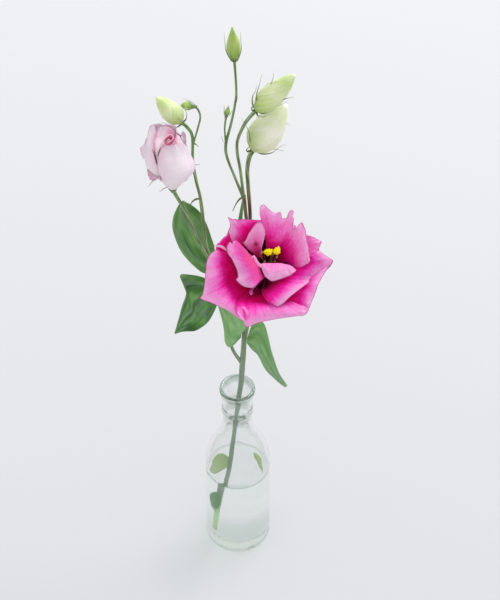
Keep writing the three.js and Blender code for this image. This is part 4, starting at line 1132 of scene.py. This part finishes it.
# %% Open flower
PETALS = {
    "upperLeft": dict(
        left=[(-2, 4, -27), (-10.7, 10.5, -16), (-17.8, 11.5, -10), (-21.1, 18.9, -3)],
        right=[(1, 4, -27), (3, 15, -16), (3, 21, -11), (0, 25.2, -6)],
        lip=[(-21.1, 18.9, -3), (-20, 22, -1.5), (-20.2, 24.5, 0), (-21.2, 26.8, 2), (-19.4, 26.2, 1.6),
             (-17.3, 25.8, 0.5), (-13.3, 26, 0), (-8.1, 25.8, -1), (0, 25.2, -6)],
        belly=(0, -2.5, -1.5, 0.8, 0), throat=0.78, margin_shade=-0.4),
    "leftShoulder": dict(
        left=[(-1, 0, -27), (-15.9, 2, -17), (-22, 3.2, -9.6), (-26.2, 6, -4.6), (-27.9, 9.6, -3)],
        right=[(-2, 2, -27), (-13, 14, -17), (-16.5, 17, -12), (-18.5, 19, -8), (-21, 19.3, -5.5)],
        lip=[(-27.9, 9.6, -3), (-27.4, 11.8, -3.2), (-26.2, 13.1, -3), (-24.5, 14.6, -3),
             (-22.7, 16.9, -3.5), (-21, 19.3, -5.5)],
        belly=(0, -1, -1, 0, 0), throat=0.95),
    "left": dict(
        left=[(0, -1, -28), (-5.5, -14, -17), (-12, -20, -8), (-14, -24, -3.5), (-14.5, -28, -2.5),
              (-12.7, -31.1, -3)],
        right=[(-1, 1, -28), (-15.9, 4.5, -15), (-21, 6.9, -8), (-24.5, 8.3, -2.5), (-26.8, 9, -0.5),
               (-28.6, 8.8, -1)],
        lip=[(-12.7, -31.1, -3), (-17.9, -27.6, -2), (-22.5, -24.7, -1), (-27.6, -22.4, -1.5),
             (-32.2, -20.2, -3), (-37.3, -18.4, -4.5), (-35.6, -15.7, -4), (-34.9, -9, -2),
             (-34.2, -2.9, -1.5), (-33.5, 1.7, -1.5), (-31.4, 6.2, -1.5), (-28.6, 8.8, -1)],
        belly=(0, -1.5, -3, -0.5, 1.2, 0), throat=0.56),
    "bottom": dict(
        left=[(2, -3, -28), (2, -11.5, -15), (8.5, -17, -9), (14.4, -19.4, -5), (19.5, -21.8, -3),
              (24.2, -23.8, -2.5)],
        right=[(-1, -3, -28), (-6.6, -14.6, -14), (-12.8, -17.2, -6), (-15.6, -19.8, -1), (-16.6, -22.9, 1.5),
               (-16.1, -26.7, 2.5), (-14.3, -29.5, 2)],
        lip=[(24.2, -23.8, -2.5), (23.6, -25.7, -3), (21.3, -27.6, -3), (16.5, -28.1, -2),
             (11.3, -28.8, -1.5), (3.6, -30.1, -1.5), (-4, -31.7, -1), (-8.1, -33.4, -1),
             (-11.3, -34.2, -0.5), (-11.9, -31.8, 1), (-14.3, -29.5, 2)],
        belly=(0, -2, -2.5, 0, 1.5, 0), throat=0.51),
    "lowerRight": dict(
        left=[(3, 0, -28), (12.5, 3.4, -15), (20.7, 3.9, -8), (24.7, 6.1, -4), (28.7, 8.8, -3)],
        right=[(2, -2, -28), (4.5, -14, -18), (10, -20, -12), (16.5, -24, -8), (22.5, -25.6, -6)],
        lip=[(28.7, 8.8, -3), (31.8, 7, -2.5), (34.9, 4.8, -3), (37.7, 2.8, -4.5), (36.3, 0.8, -4),
             (33.9, -2.5, -3), (31.3, -6.5, -2.5), (29.3, -10.6, -2.5), (27.3, -15.7, -3), (25.5, -20.3, -4),
             (24.4, -23.4, -4.5), (22.5, -25.6, -6)],
        belly=(0, -2, -2, 0.5, 0), throat=0.77, margin_shade=0.05),
    "fold": dict(
        left=[(3, -1, -26), (12.5, 3.4, -14), (20.7, 4.2, -6.4), (25, 6.4, -3), (29, 9, -2)],
        right=[(1, -3, -26), (-1.9, -12.1, -15), (-2.2, -15.2, -7), (-0.2, -18.5, -2), (3.1, -21.1, 1),
               (6.1, -22.4, 1.5)],
        lip=[(29, 9, -2), (32, 7, -1.6), (35, 4.9, -2), (37.8, 2.9, -3.6), (36.2, 0.4, -4), (33, -3.2, -4.6),
             (29, -6.2, -5.4), (25.6, -8, -4.4), (22, -10.6, -1.2), (16.9, -14.4, 1), (12.3, -18.3, 2),
             (8.7, -21.2, 2), (6.1, -22.4, 1.5)],
        belly=(0, -3, -1, 1, 0.8, 0), throat=0.7, margin_shade=0.06),
    "rightCup": dict(
        left=[(3, 2, -26), (6, 11.3, -14), (9.8, 15.6, -9), (12.8, 18.4, -6), (15.7, 20.2, -3)],
        right=[(4, 0, -26), (10.7, -2.3, -14), (16.5, -2.1, -7), (20.5, -0.2, -1), (23.2, 2.2, 1)],
        lip=[(15.7, 20.2, -3), (17.4, 22.6, -0.5), (19.1, 24.3, 1), (20.9, 22.2, 1.5), (22.1, 17.9, 1.5),
             (22.9, 13.4, 2), (23.7, 8.3, 2.2), (24.2, 5, 1.5), (23.2, 2.2, 1)],
        belly=(0, -3, -2.4, -0.6, 0), throat=0.36),
    "rightBack": dict(
        left=[(4, 3, -28), (12, 17, -18), (18, 19.3, -12), (22.3, 17.8, -7)],
        right=[(4, 1, -28), (18.2, 4, -13), (24.3, 4.4, -6.6), (28.8, 6.4, -4.2)],
        lip=[(22.3, 17.8, -7), (26.3, 16.3, -6), (29.1, 14.8, -5), (31.2, 13.6, -4), (30.2, 11.9, -5),
             (29.3, 9.4, -4.8), (28.8, 6.4, -4.2)],
        belly=(0, -1, 0, 0.5, 0), throat=0.5),
    "top": dict(
        left=[(0, 3, -28), (0, 13.3, -13), (-1.2, 20.8, -6), (-2.4, 25.4, -3), (-3.1, 28.1, -1),
              (-2.2, 30.3, 1)],
        right=[(3, 3, -28), (10.4, 12, -14), (14, 15.5, -10), (16, 19, -7), (16.6, 21.7, -5)],
        lip=[(-2.2, 30.3, 1), (-3.5, 31.7, 3.5), (-2.7, 33.2, 4.2), (-0.9, 34, 3), (1.3, 32, 2), (3.5, 30, 1),
             (5.3, 28.9, 0), (7.7, 30, 0.8), (8.6, 28.6, -0.5), (9.2, 26.2, -1.5), (11.2, 26.4, -1.8),
             (12.7, 27.6, -1.5), (12.9, 30.4, -0.5), (14.4, 31, 0.5), (15.5, 30.2, -1), (14.8, 27.5, -2),
             (15.8, 26, -2.4), (15, 23.6, -3.5), (16.6, 21.7, -5)],
        belly=(0, 1.5, 1.5, 0.8, 0.5, 0), throat=0.16),
    "oval": dict(
        left=[(-3, 1, -25), (-6.1, 6, -15), (-10.7, 10, -8), (-13.5, 12.5, -4)],
        right=[(0, 2, -25), (-1.7, 4.5, -14), (-2.6, 9.3, -8), (-2.2, 12.5, -4.5)],
        lip=[(-13.5, 12.5, -4), (-11.2, 14.3, -2), (-9.6, 18.1, 0), (-7.4, 21.9, 1.5), (-4.7, 24.6, 2.5),
             (-3.2, 25.1, 2.5), (-1.6, 23.6, 2), (-0.6, 21.1, 1.5), (-0.4, 18.5, 0.5), (-1.2, 15.3, -1.5),
             (-2.2, 12.5, -4.5)],
        belly=(0, -1, -1, 0.5, 0.5), throat=0.44, lilac=0.2, spot=(-0.1, 0.63)),
    "rolled": dict(
        left=[(-1, -3, -24), (-0.4, -6.4, -9), (-1.4, -6.9, -2), (-3.8, -9.3, 0.5), (-6.6, -11.9, 1),
              (-9.7, -12, 0.5)],
        right=[(-3, 0, -24), (-7.1, 4.4, -13), (-11.6, 8.2, -4), (-13.4, 10.6, 1), (-15.2, 13, 3),
               (-17.8, 14.2, 4)],
        lip=[(-9.7, -12, 0.5), (-13.2, -11.1, 2), (-16.8, -8, 3), (-15.8, -6.5, 2.4), (-16.2, -2.9, 2),
             (-17.3, 0.1, 2.5), (-19.4, 4.2, 3.5), (-21.5, 7.3, 4), (-22, 10.8, 4.2), (-20.6, 13.2, 4.2),
             (-19, 12.6, 4.4), (-18.6, 13.9, 4.2), (-17.8, 14.2, 4)],
        belly=(0, -1, 2, 2.2, 1, 0), throat=0.66, lilac=0.2, margin_shade=-0.2),
    "frontLip": dict(
        left=[(5, -5, -24), (12, -2.8, -11), (12.9, 0.6, -2.5), (15.2, -0.3, 0), (16.9, -2.3, 0.5)],
        right=[(-1, -4, -24), (-2.2, -1.8, -11), (-2.2, 1.2, -2.5), (-2.6, 0.9, 0.5), (-2.2, -1, 1)],
        lip=[(16.9, -2.3, 0.5), (15.3, -4, 1), (12.3, -5.6, 1.5), (8.2, -7.1, 2), (4.1, -8.3, 2),
             (1.5, -7.5, 2), (-1, -5, 1.5), (-2.2, -1, 1)],
        belly=(0, 1, 1, 1, 0), throat=0.3, lilac=0.3),
}
CURLS = {
    "lipTail": dict(
        left=[(-1.9, -1.6, 0), (-4.6, 0.4, 3), (-6.3, 3.2, 5), (-7.1, 4.7, 6), (-8, 4.5, 6.4)],
        right=[(-1.6, 0.9, 1.5), (-3.8, 1.7, 3.5), (-5.3, 4, 5.5), (-6.7, 5.9, 6.2), (-7.6, 5.5, 6.8)],
        depth=1, lilac=0.6),
    "petaloid": dict(
        left=[(-6.6, -11, -14), (-8.6, -13, -8), (-9.4, -14.6, -5.6), (-9, -16, -4.4)],
        right=[(-5.6, -11.6, -14), (-7.2, -13.4, -8), (-7.4, -14.8, -5.4), (-7.8, -16, -4)],
        depth=0.72, lilac=0.2),
    "bottomCurl": dict(
        left=[(-12.6, -22.5, 0.5), (-10.6, -24.5, 1.8), (-9.6, -27.4, 2.2), (-11.4, -30.6, 1.4)],
        right=[(-13.4, -23.5, 1.5), (-12, -25.2, 2.8), (-11.4, -27.4, 3), (-12.2, -29.8, 2)],
        depth=0.8, lilac=0),
    "cupCurl": dict(
        left=[(21.1, 1.2, -3), (21.3, 3.2, 0), (21.7, 5.2, 2)],
        right=[(22.7, 1.2, -3), (22.6, 3.5, 0.5), (22.2, 5.7, 2.2)],
        depth=1, lilac=0.3),
    "outerCupCurl": dict(
        left=[(22.4, 1.2, -3), (23.2, 3, 1), (23.4, 5, 3)],
        right=[(23.4, 1, -3), (24.4, 3.2, 1), (24, 5.3, 3.2)],
        depth=1, lilac=0.3),
    "shoulderLip": dict(
        left=[(-27.6, 11.8, 0), (-25, 11.5, 2), (-22.7, 10.2, 1.5), (-21.5, 9, -1)],
        right=[(-28, 10.3, 0), (-26.3, 10.6, 1.5), (-24.2, 9.8, 1), (-22.6, 8.6, -1)],
        depth=1, lilac=0.2),
}

# %% [markdown]
# ## Growing the open flower
# The petals share one recipe and differ in their outlines. Each has a seed for its ripples, so no two
# ripple alike. The heights of the relief are in millimetres. One petal carries a small dark ring near
# its top, as the photo shows. The joined roots then close the flower behind.

# %% Growing the open flower
CUP_LINE = [(1.5, -1, -31), (1.5, -1, -27), (1.5, -1, -22), (1, 0, -17.5), (0.5, 0.5, -14)]
CUP_RADII = [3.0, 5.4, 9.0, 13.5, 18.5]
PETAL_THICKNESS = 0.36
PLEAT = 0.07
HOLLOW = 0.9
FRILL = 1.0
ROLL = 0.6
NICK = 0.7
RING_RADIUS = 0.9
RING_WIDTH = 0.5
SEED_STEP = 3.7


def throat_depth(v, throat):
    """How far towards the lip a point is: 0 at the root, 0.5 where the throat colour ends, 1 at the lip."""
    return 0.5 * v / throat if v < throat else 0.5 + 0.5 * (v - throat) / (1 - throat)


def pleats(side, v, seed):
    """Pleats that fan from the root, slow hollows, and a margin that ripples, rolls back and has nicks."""
    fan = PLEAT * math.sin(19 * side + seed) * rise(0.1, 0.5, v) * rise(1.0, 0.7, v)
    slow = HOLLOW * noise.noise(Vector((1.3 * side, 2.6 * v, seed))) * rise(0.15, 0.6, v)
    margin = max(abs(side) ** 5 * rise(0.25, 0.6, v), rise(0.75, 1.0, v))
    frill = FRILL * margin * noise.noise(Vector((6 * side, 8 * v, seed + 5)))
    roll = -ROLL * max(rise(0.88, 1.0, abs(side)) * rise(0.3, 0.6, v), rise(0.93, 1.0, v))
    nick = NICK * abs(side) ** 8 * noise.noise(Vector((side, 14 * v, seed + 9))) * rise(0.3, 0.6, v)
    return fan + slow + frill + roll, nick


def open_petal(mesh, left, right, lip, throat, seed, belly, lilac=0, margin_shade=0, spot=None):
    """The margin shade paints one margin deeper, where it lies in its neighbours' shade; spot is where a
    small dark ring sits.
    """
    left, right, lip = flower_points(left), flower_points(right), flower_points(lip)
    length = (left[-1] - left[0]).length
    half = (left[-1] - right[-1]).length / 2

    def marks(side, v, edge):
        edge = min(edge, (1 - v) * length)
        # Painted shade: the throat colour climbs higher on one margin than the other.
        depth = throat_depth(v, throat) + margin_shade * side * v
        if spot:
            away = math.hypot((side - spot[0]) * half, (v - spot[1]) * length)
            depth -= 0.75 * bump_at(away, RING_RADIUS, RING_WIDTH)
        return depth, edge, lilac * rise(0.1, 0.6, v)

    blade(mesh, left, right, rows=48, columns=56, lip=lip, belly=belly,
          shape=lambda side, v: pleats(side, v, seed), marks=marks)


def petal_curl(mesh, left, right, depth, lilac):
    """A curl too small to change colour along its length, so it is told its depth."""
    blade(mesh, flower_points(left), flower_points(right), rows=20, columns=8, belly=(0, 0.3, 0),
          marks=lambda side, v, edge: (depth, 0.35 + edge, lilac))


def make_open_flower():
    mesh = new_mesh()
    for index, petal in enumerate(PETALS.values()):
        open_petal(mesh, seed=SEED_STEP * index, **petal)
    for curl in CURLS.values():
        petal_curl(mesh, **curl)
    piece("open_petals", mesh, magenta_petal, ["petals_open"],
          thickness=PETAL_THICKNESS)


def make_cup():
    """The petals' joined roots: a funnel that stands on the green foot and opens behind the petals."""
    mesh = new_mesh()
    line = flower_points(CUP_LINE)

    def place(u, v):
        out = FLOWER_AXES @ polar(spline(CUP_RADII, v), 360 * u, 0)
        # Inside, the cup takes the root's nearly black colour: painted shade deep in the flower.
        return spline(line, v) + out, (0.08 * v, 2, 0)

    made = lay_grid(mesh, 48, 12, place)
    bmesh.ops.remove_doubles(mesh, verts=made, dist=1e-8)
    piece("petal_cup", mesh, magenta_petal, thickness=PETAL_THICKNESS)


make_open_flower()
make_cup()

# %% [markdown]
# ## Pistil, stigma and stamens
# A green ovary sits at the foot of the cup and carries a slim style. The stigma on its end is the
# brightest spot of the flower: two fat yellow lobes, grainy with pollen. Five thin stamens stand round
# the style. Only one shows well, curled up pale beside the left lobe. The lobes are spheres pushed in
# and out by noise, and the finish gives the grain, since pollen that small needs no faces of its own.

# %% Pistil and stamens
STYLE = [(1.5, -1, -27), (1.5, -1, -23), (2, 1, -18), (3, 4.4, -11), (3.6, 6.8, -7)]
LOBES = [((1.2, 7.9, -4.6), 0.3, (2.0, 1.9, 1.7)), ((6.2, 8.5, -4.6), -0.5, (1.6, 2.1, 1.6))]
LOBE_BRIDGE = [(1.4, 7.4, -5.8), (3.6, 6.8, -8), (6.0, 8.0, -5.8)]
STAMENS = [
    [(1.0, 0.0, -26), (-1.5, 3.5, -17), (-3.2, 5.4, -9), (-3.4, 6.6, -6.2), (-2.4, 7.4, -5.6)],
    [(2.4, 0.4, -26), (4.5, 3.6, -19), (5.8, 5.0, -14.5), (6.2, 5.2, -13)],
    [(1.2, -1.8, -26), (0.5, -1.5, -19), (-0.4, 1.2, -14.5), (-0.8, 2.2, -13)],
    [(2.2, -1.6, -26), (4.2, -1.0, -19), (4.8, 1.5, -15), (5.0, 2.4, -14)],
    [(0.6, 0.8, -26), (-0.8, 5.0, -19), (-1.0, 7.6, -15), (-0.6, 8.6, -14)],
]


def plain_skin(name, dark, light, per_metre, roughness, depth):
    material, tree, shader = finish(name, Roughness=roughness, Specular_IOR_Level=0.3)
    grain = specks(tree, per_metre, 3)
    paint(tree, shader, ramp(tree, grain, [(0.35, dark), (0.65, light)]))
    relief(tree, shader, grain, strength=0.6, depth=depth)
    return material


pistil_finish = plain_skin("pistil_skin", (0.05, 0.08, 0.02), (0.20, 0.25, 0.07), 500, 0.45, 0.0003)
pollen_finish = plain_skin("pollen_skin", (0.92, 0.74, 0.001), (1.0, 0.98, 0.003), 1500, 0.8, 0.0006)
thread_finish = plain_skin("thread_skin", (0.22, 0.17, 0.05), (0.60, 0.48, 0.20), 700, 0.6, 0.0002)


def make_pistil():
    mesh = new_mesh()
    stalk(mesh, flower_points(STYLE), [2.1, 2.3, 1.1, 0.7, 0.75], sides=20, steps_each=8)
    piece("ovary_and_style", mesh, pistil_finish, ["pistil"])


def make_stigma():
    mesh = new_mesh()
    for centre, turn, size in LOBES:
        to_place = FLOWER_FRAME @ Matrix.Translation(Vector(centre)) @ Matrix.Rotation(turn, 4, "Z")
        ball = bmesh.ops.create_icosphere(mesh, subdivisions=5, radius=1)["verts"]
        for vertex in ball:
            spot = vertex.co.copy()
            lump = 1 + 0.6 * noise.noise(spot * 2 + Vector(centre)) + 0.12 * noise.noise(spot * 7)
            cleft = 1 - 0.18 * bump_at(spot.x, 0, 0.25) * (spot.z > 0)
            vertex.co = to_place @ Vector(x * half * lump * cleft for x, half in zip(spot, size)) * MM
    stalk(mesh, flower_points(LOBE_BRIDGE), [0.7, 0.4, 0.7], sides=16)
    piece("stigma_lobes", mesh, pollen_finish, ["stigma"])


def make_stamens():
    mesh = new_mesh()
    for line in STAMENS:
        stalk(mesh, flower_points(line), [0.34, 0.28, 0.24, 0.22], sides=8, steps_each=8)
        end = Vector(line[-1])
        anther = [end - Vector((0.2, 0.9, 0.5)), end, end + Vector((0.3, 1.0, 0.6))]
        stalk(mesh, flower_points(anther), [0.2, 0.6, 0.2], sides=10, steps_each=6)
    piece("stamens", mesh, thread_finish)


make_pistil()
make_stigma()
make_stamens()

# %% [markdown]
# ## The pale flower
# The second flower is half open: its petals are still wrapped round one another like a rosebud. The ones
# at its back and side are sheets on a round wall. The ones in front are blades with outlines of their
# own, since their folds and lips are what the eye sees. The heart is a single sheet that starts with an
# S through the middle and winds nearly twice round it. The colour is nearly white, with a pink blush
# along the folds and a deep pink in the heart; the lips turn grey with painted shade where they curl away
# from the light. Two folds run deep, and their shade is painted on two thin dark red sheets laid in them.

# %% Pale flower
PALE_PETALS = [
    dict(start=95, end=190, radii=(3, 7.6, 10.2, 11, 10.6, 10.4), top=34, lean=0.05),
    dict(start=25, end=120, radii=(3, 7.6, 10.4, 11.2, 10.6, 10), top=34.6, lean=-0.05),
    dict(start=-30, end=60, radii=(3, 6.8, 10, 10.6, 9, 6.8), top=29, lean=0.04),
    dict(start=10, end=220, radii=(3, 5.6, 7.6, 8, 7, 5.4), top=30, lean=0.06),
    dict(start=190, end=400, radii=(3, 5.4, 7, 7.4, 6.4, 5), top=29, lean=0.06),
]
PALE_SHEETS = {
    "front": dict(
        left=[(-1.4, -13.1, -10), (-4.6, -9.2, 0), (-7.1, -4.5, 6), (-6.9, 0.3, 9.5), (-6.3, 4, 11.5),
              (-4.8, 7, 12.5)],
        right=[(1, -13.3, -10), (7.7, -9.3, -1.5), (11.9, -5.9, 1), (13.5, -2, 2.5), (12.6, 1.9, 4),
               (10.5, 5.5, 5)],
        lip=[(-4.8, 7.4, 12.5), (-2.9, 8.9, 13.2), (-0.3, 8.8, 13.4), (2.6, 9.6, 12.8), (5.4, 10.2, 11),
             (8.3, 9.7, 8), (10.5, 5.5, 5)],
        belly=(0, 5, 6, 4.5, 1.5, 0), blush=(0.22, 0.06, 0.03, 0.08), lip_shade=0.8),
    "leftSide": dict(
        left=[(-3.3, -9.7, -4), (-8, -6.3, -3), (-12.6, -3, -0.5), (-14.4, 1.4, 1), (-15.7, 4.4, 2.5),
              (-16.7, 8, 4)],
        right=[(-2.4, -9.7, 0), (-6.1, -4, 6.4), (-7.7, -0.2, 8.4), (-8.6, 4, 9.6), (-9.7, 7.4, 10),
               (-9.5, 11.2, 9.4)],
        lip=[(-16.7, 8, 4), (-14.7, 10.1, 4.6), (-13.3, 13.3, 5), (-12.3, 16.9, 5.4), (-11.1, 20.1, 6),
             (-8.8, 20.5, 6.6), (-8, 15.9, 8.4), (-9.5, 11.2, 9.4)],
        belly=(0, 2, 2, 1.5, 1, 0), blush=(0.08, 0.0, 0.05, 0.35), lip_shade=0.8),
    "collar": dict(
        left=[(-4.2, -6.8, 2), (-7.5, -0.7, 7), (-8.9, 4, 8.2), (-9.6, 9.1, 8.4), (-9, 13.1, 8.6),
              (-7.4, 17.2, 8.8)],
        right=[(-2.3, -6.8, 4), (-4.2, -1.1, 8), (-3, 5, 8), (0.5, 9, 7), (2, 13, 7), (2.4, 15.6, 8)],
        lip=[(-7.4, 17.2, 8.8), (-5.6, 19.2, 8.6), (-2.6, 19.8, 8.4), (0.8, 18.6, 8.2), (2.4, 15.6, 8)],
        belly=(0, 0.4, 0.6, 0.8, -0.6, 0), blush=(0.85, 0.14, 0.05, 0.2, 0.5, 0.6), lip_shade=0.8),
    "back": dict(
        left=[(-2.4, -3, -6), (-8, 6.4, 0), (-11.3, 14, 4), (-11.6, 17.8, 5)],
        right=[(3.3, -3, -6), (5.2, 6.4, 0), (4.7, 12.1, 4), (3.1, 16.3, 6)],
        lip=[(-11.6, 17.8, 5), (-11.1, 20.5, 5.6), (-8.5, 21.3, 6), (-6.1, 21.5, 6), (-3.8, 20.9, 6.2),
             (-2.1, 21.2, 6.4), (0.5, 20.8, 6.4), (2.6, 20.5, 6.4), (3.2, 18.3, 6.4), (3.1, 16.3, 6)],
        belly=(0, -3, -1.5, 0), blush=(0.04, 0.08, 0.2), lip_shade=0.85),
    "rightSide": dict(
        left=[(1, 5, 8), (1.6, 8, 10.4), (2.6, 12, 11), (3.2, 15.4, 10.4)],
        right=[(7, 4, 4), (8.4, 7.4, 5), (7.4, 10, 6.6), (5.2, 13.2, 8.4)],
        lip=[(3.2, 15.4, 10.4), (3.9, 15.4, 10), (4.7, 14.6, 9.4), (5.2, 13.2, 8.4)],
        belly=(0, 1.5, 1, 0), blush=(0.6, 0.05, 0), lip_shade=0.5),
    "lobe": dict(
        left=[(-3.3, -8.7, -2), (-8.5, -5.4, 0), (-12.7, -2.7, 0.5)],
        right=[(-2.4, -10.1, 1), (-5.2, -8.7, 4), (-6.3, -7.8, 5)],
        lip=[(-12.7, -2.7, 0.5), (-12.5, -6.8, 1.6), (-11.1, -9.4, 2.6), (-8.6, -9.7, 3.6), (-6.3, -7.8, 5)],
        belly=(0, 0.6, 0), blush=(0.15, 0.1), lip_shade=1.25),
    "curl": dict(
        left=[(5.4, 11.4, 4.6), (5.4, 13.6, 6), (5.8, 15.4, 6.6)],
        right=[(8.4, 10, 4), (8.7, 12, 5.4), (8.5, 14, 6.2)],
        lip=[(5.8, 15.4, 6.6), (6.6, 16.8, 6.4), (7.5, 16.9, 6.2), (8.3, 15.5, 6.2), (8.5, 14, 6.2)],
        belly=(0, -0.8, -0.6), blush=(0.02, 0.1), lip_shade=1.1),
}
# Two thin dark red sheets that paint the shade deep in two folds.
PALE_FOLD_SHADES = [
    ([(-6.2, -3.4, 6.8), (-7.7, -0.2, 8.8), (-8.8, 3.8, 9.9), (-9.8, 7, 10.2)],
     [(-6.3, -3.4, 6.4), (-7.15, -0.2, 7.9), (-8.15, 3.8, 9.1), (-9.6, 7, 9.2)]),
    ([(-6.6, 3.2, 10.9), (-6.1, 5, 11.6), (-5.5, 6.8, 12.1), (-5.1, 8.2, 12.2)],
     [(-6.8, 3.2, 8.8), (-6.6, 5, 9), (-6, 6.8, 9.2), (-5.2, 8.2, 9.6)]),
]
SWIRL_CENTRE = Vector((-0.4, 12.5, 11.6))
SWIRL_START = 60
SWIRL_TURNS = 1.9
SWIRL_DEPTH = 5.0
# The upper stops turn grey: painted shade on lips that curl away from the light.
PALE_PINK = [
    (0.0, (0.78, 0.78, 0.64)), (0.12, (0.92, 0.85, 0.85)), (0.35, (0.95, 0.82, 0.91)),
    (0.6, (0.86, 0.75, 0.83)), (0.82, (0.77, 0.65, 0.74)), (1.0, (0.62, 0.47, 0.57)),
]
pale_petal = petal_skin(
    "pale_petal", PALE_PINK, rim=(0.66, 0.46, 0.57), pale=(0.93, 0.14, 0.36), glow=0.15)
# The fold sheets' finish is a dark red: painted shade.
fold_shade_finish = plain_skin("fold_shade", (0.09, 0.02, 0.04), (0.32, 0.11, 0.17), 300, 0.7, 0.0002)

# %% [markdown]
# ## Growing the pale flower
# Three recipes share the work: a petal wrapped on a round wall, a sheet with an outline of its own, and
# the wound heart. They all go into one mesh, since the petals grow from one foot. The dark red sheets
# of painted fold shade are a piece of their own, because their finish differs.

# %% Growing the pale flower
def wrapped(mesh, start, end, radii, top, lean):
    """A petal on a round wall between two angles, at the flower's back and side."""
    def place(u, v):
        side = 2 * u - 1
        span = 1 - 0.55 * (1 - v) ** 3 - 0.25 * v ** 6
        radius = spline(radii, v) * (1 + lean * side / 2)
        radius += 0.12 * math.sin(9 * side + 3 * v) * rise(0.2, 0.7, v)
        degrees = start + (end - start) * (0.5 + 0.5 * side * span)
        height = 2 + (top - 2) * v - 0.1 * top * v * side * side
        edge = min((1 - abs(side)) * radius * math.radians(end - start) / 2, (1 - v) * top)
        return PALE_FRAME @ polar(radius, degrees, height), (v, edge, 0.05)

    lay_grid(mesh, 40, 40, place)


def swirl(mesh):
    """The heart: one wound sheet, wide at its lip and narrow below, deep pink inside.

    Its lip starts past the middle and crosses it, which draws the S.
    """
    def place(u, v):
        degrees = SWIRL_START + 360 * SWIRL_TURNS * u
        oval = 1 + 0.45 * (1 - 0.6 * u) * math.cos(math.radians(2 * (degrees - 50)))
        lip = (-1.5 + 5.8 * u ** 0.7) * oval + 0.7 * noise.noise(Vector((7 * u, 0.5, 2)))
        radius = lip * (0.15 + 0.85 * v)
        depth = -SWIRL_DEPTH * (1 - v ** 1.5) - 1.0 * u + 0.9 * noise.noise(Vector((6 * u, v, 9)))
        deep = rise(1.1, 0.5, v) * (1 - 0.3 * u)
        tone = 0.35 + 0.65 * deep - 0.2 * u * v
        return PALE_FACE @ (SWIRL_CENTRE + polar(radius, degrees, depth)), (0.4, 2, tone)

    lay_grid(mesh, 150, 20, place)


def pale_relief(side, v):
    waves = 0.75 * noise.noise(Vector((2 * side, 3 * v, 1))) * rise(0.2, 0.6, v)
    margin = max(abs(side) ** 5, rise(0.8, 1, v))
    frill = 0.7 * noise.noise(Vector((5 * side, 6 * v, 4))) * margin * rise(0.2, 0.5, v)
    return waves + frill, 0


def pale_sheet(mesh, left, right, lip, belly, blush, lip_shade):
    """blush gives how pink the sheet is from one margin to the other; the lip shade, how far its lip is
    painted grey with shade.
    """
    def marks(side, v, edge):
        return v * lip_shade, min(edge, 20 * (1 - v)), spline(blush, (side + 1) / 2) * rise(0.0, 0.4, v)

    blade(mesh, pale_points(left), pale_points(right), rows=40, columns=36, lip=pale_points(lip),
          belly=belly, shape=pale_relief, marks=marks)


def make_pale_flower():
    mesh = new_mesh()
    for petal in PALE_PETALS:
        wrapped(mesh, **petal)
    for sheet in PALE_SHEETS.values():
        pale_sheet(mesh, **sheet)
    swirl(mesh)
    piece("pale_petals", mesh, pale_petal, ["petals_pale"], thickness=PETAL_THICKNESS)


def make_fold_shades():
    """Where two petals part, their fold runs deep; a thin dark red sheet laid in it is painted shade."""
    mesh = new_mesh()
    for left, right in PALE_FOLD_SHADES:
        blade(mesh, pale_points(left), pale_points(right), rows=6, columns=30)
    piece("fold_shades", mesh, fold_shade_finish, thickness=0.2)


make_pale_flower()
make_fold_shades()
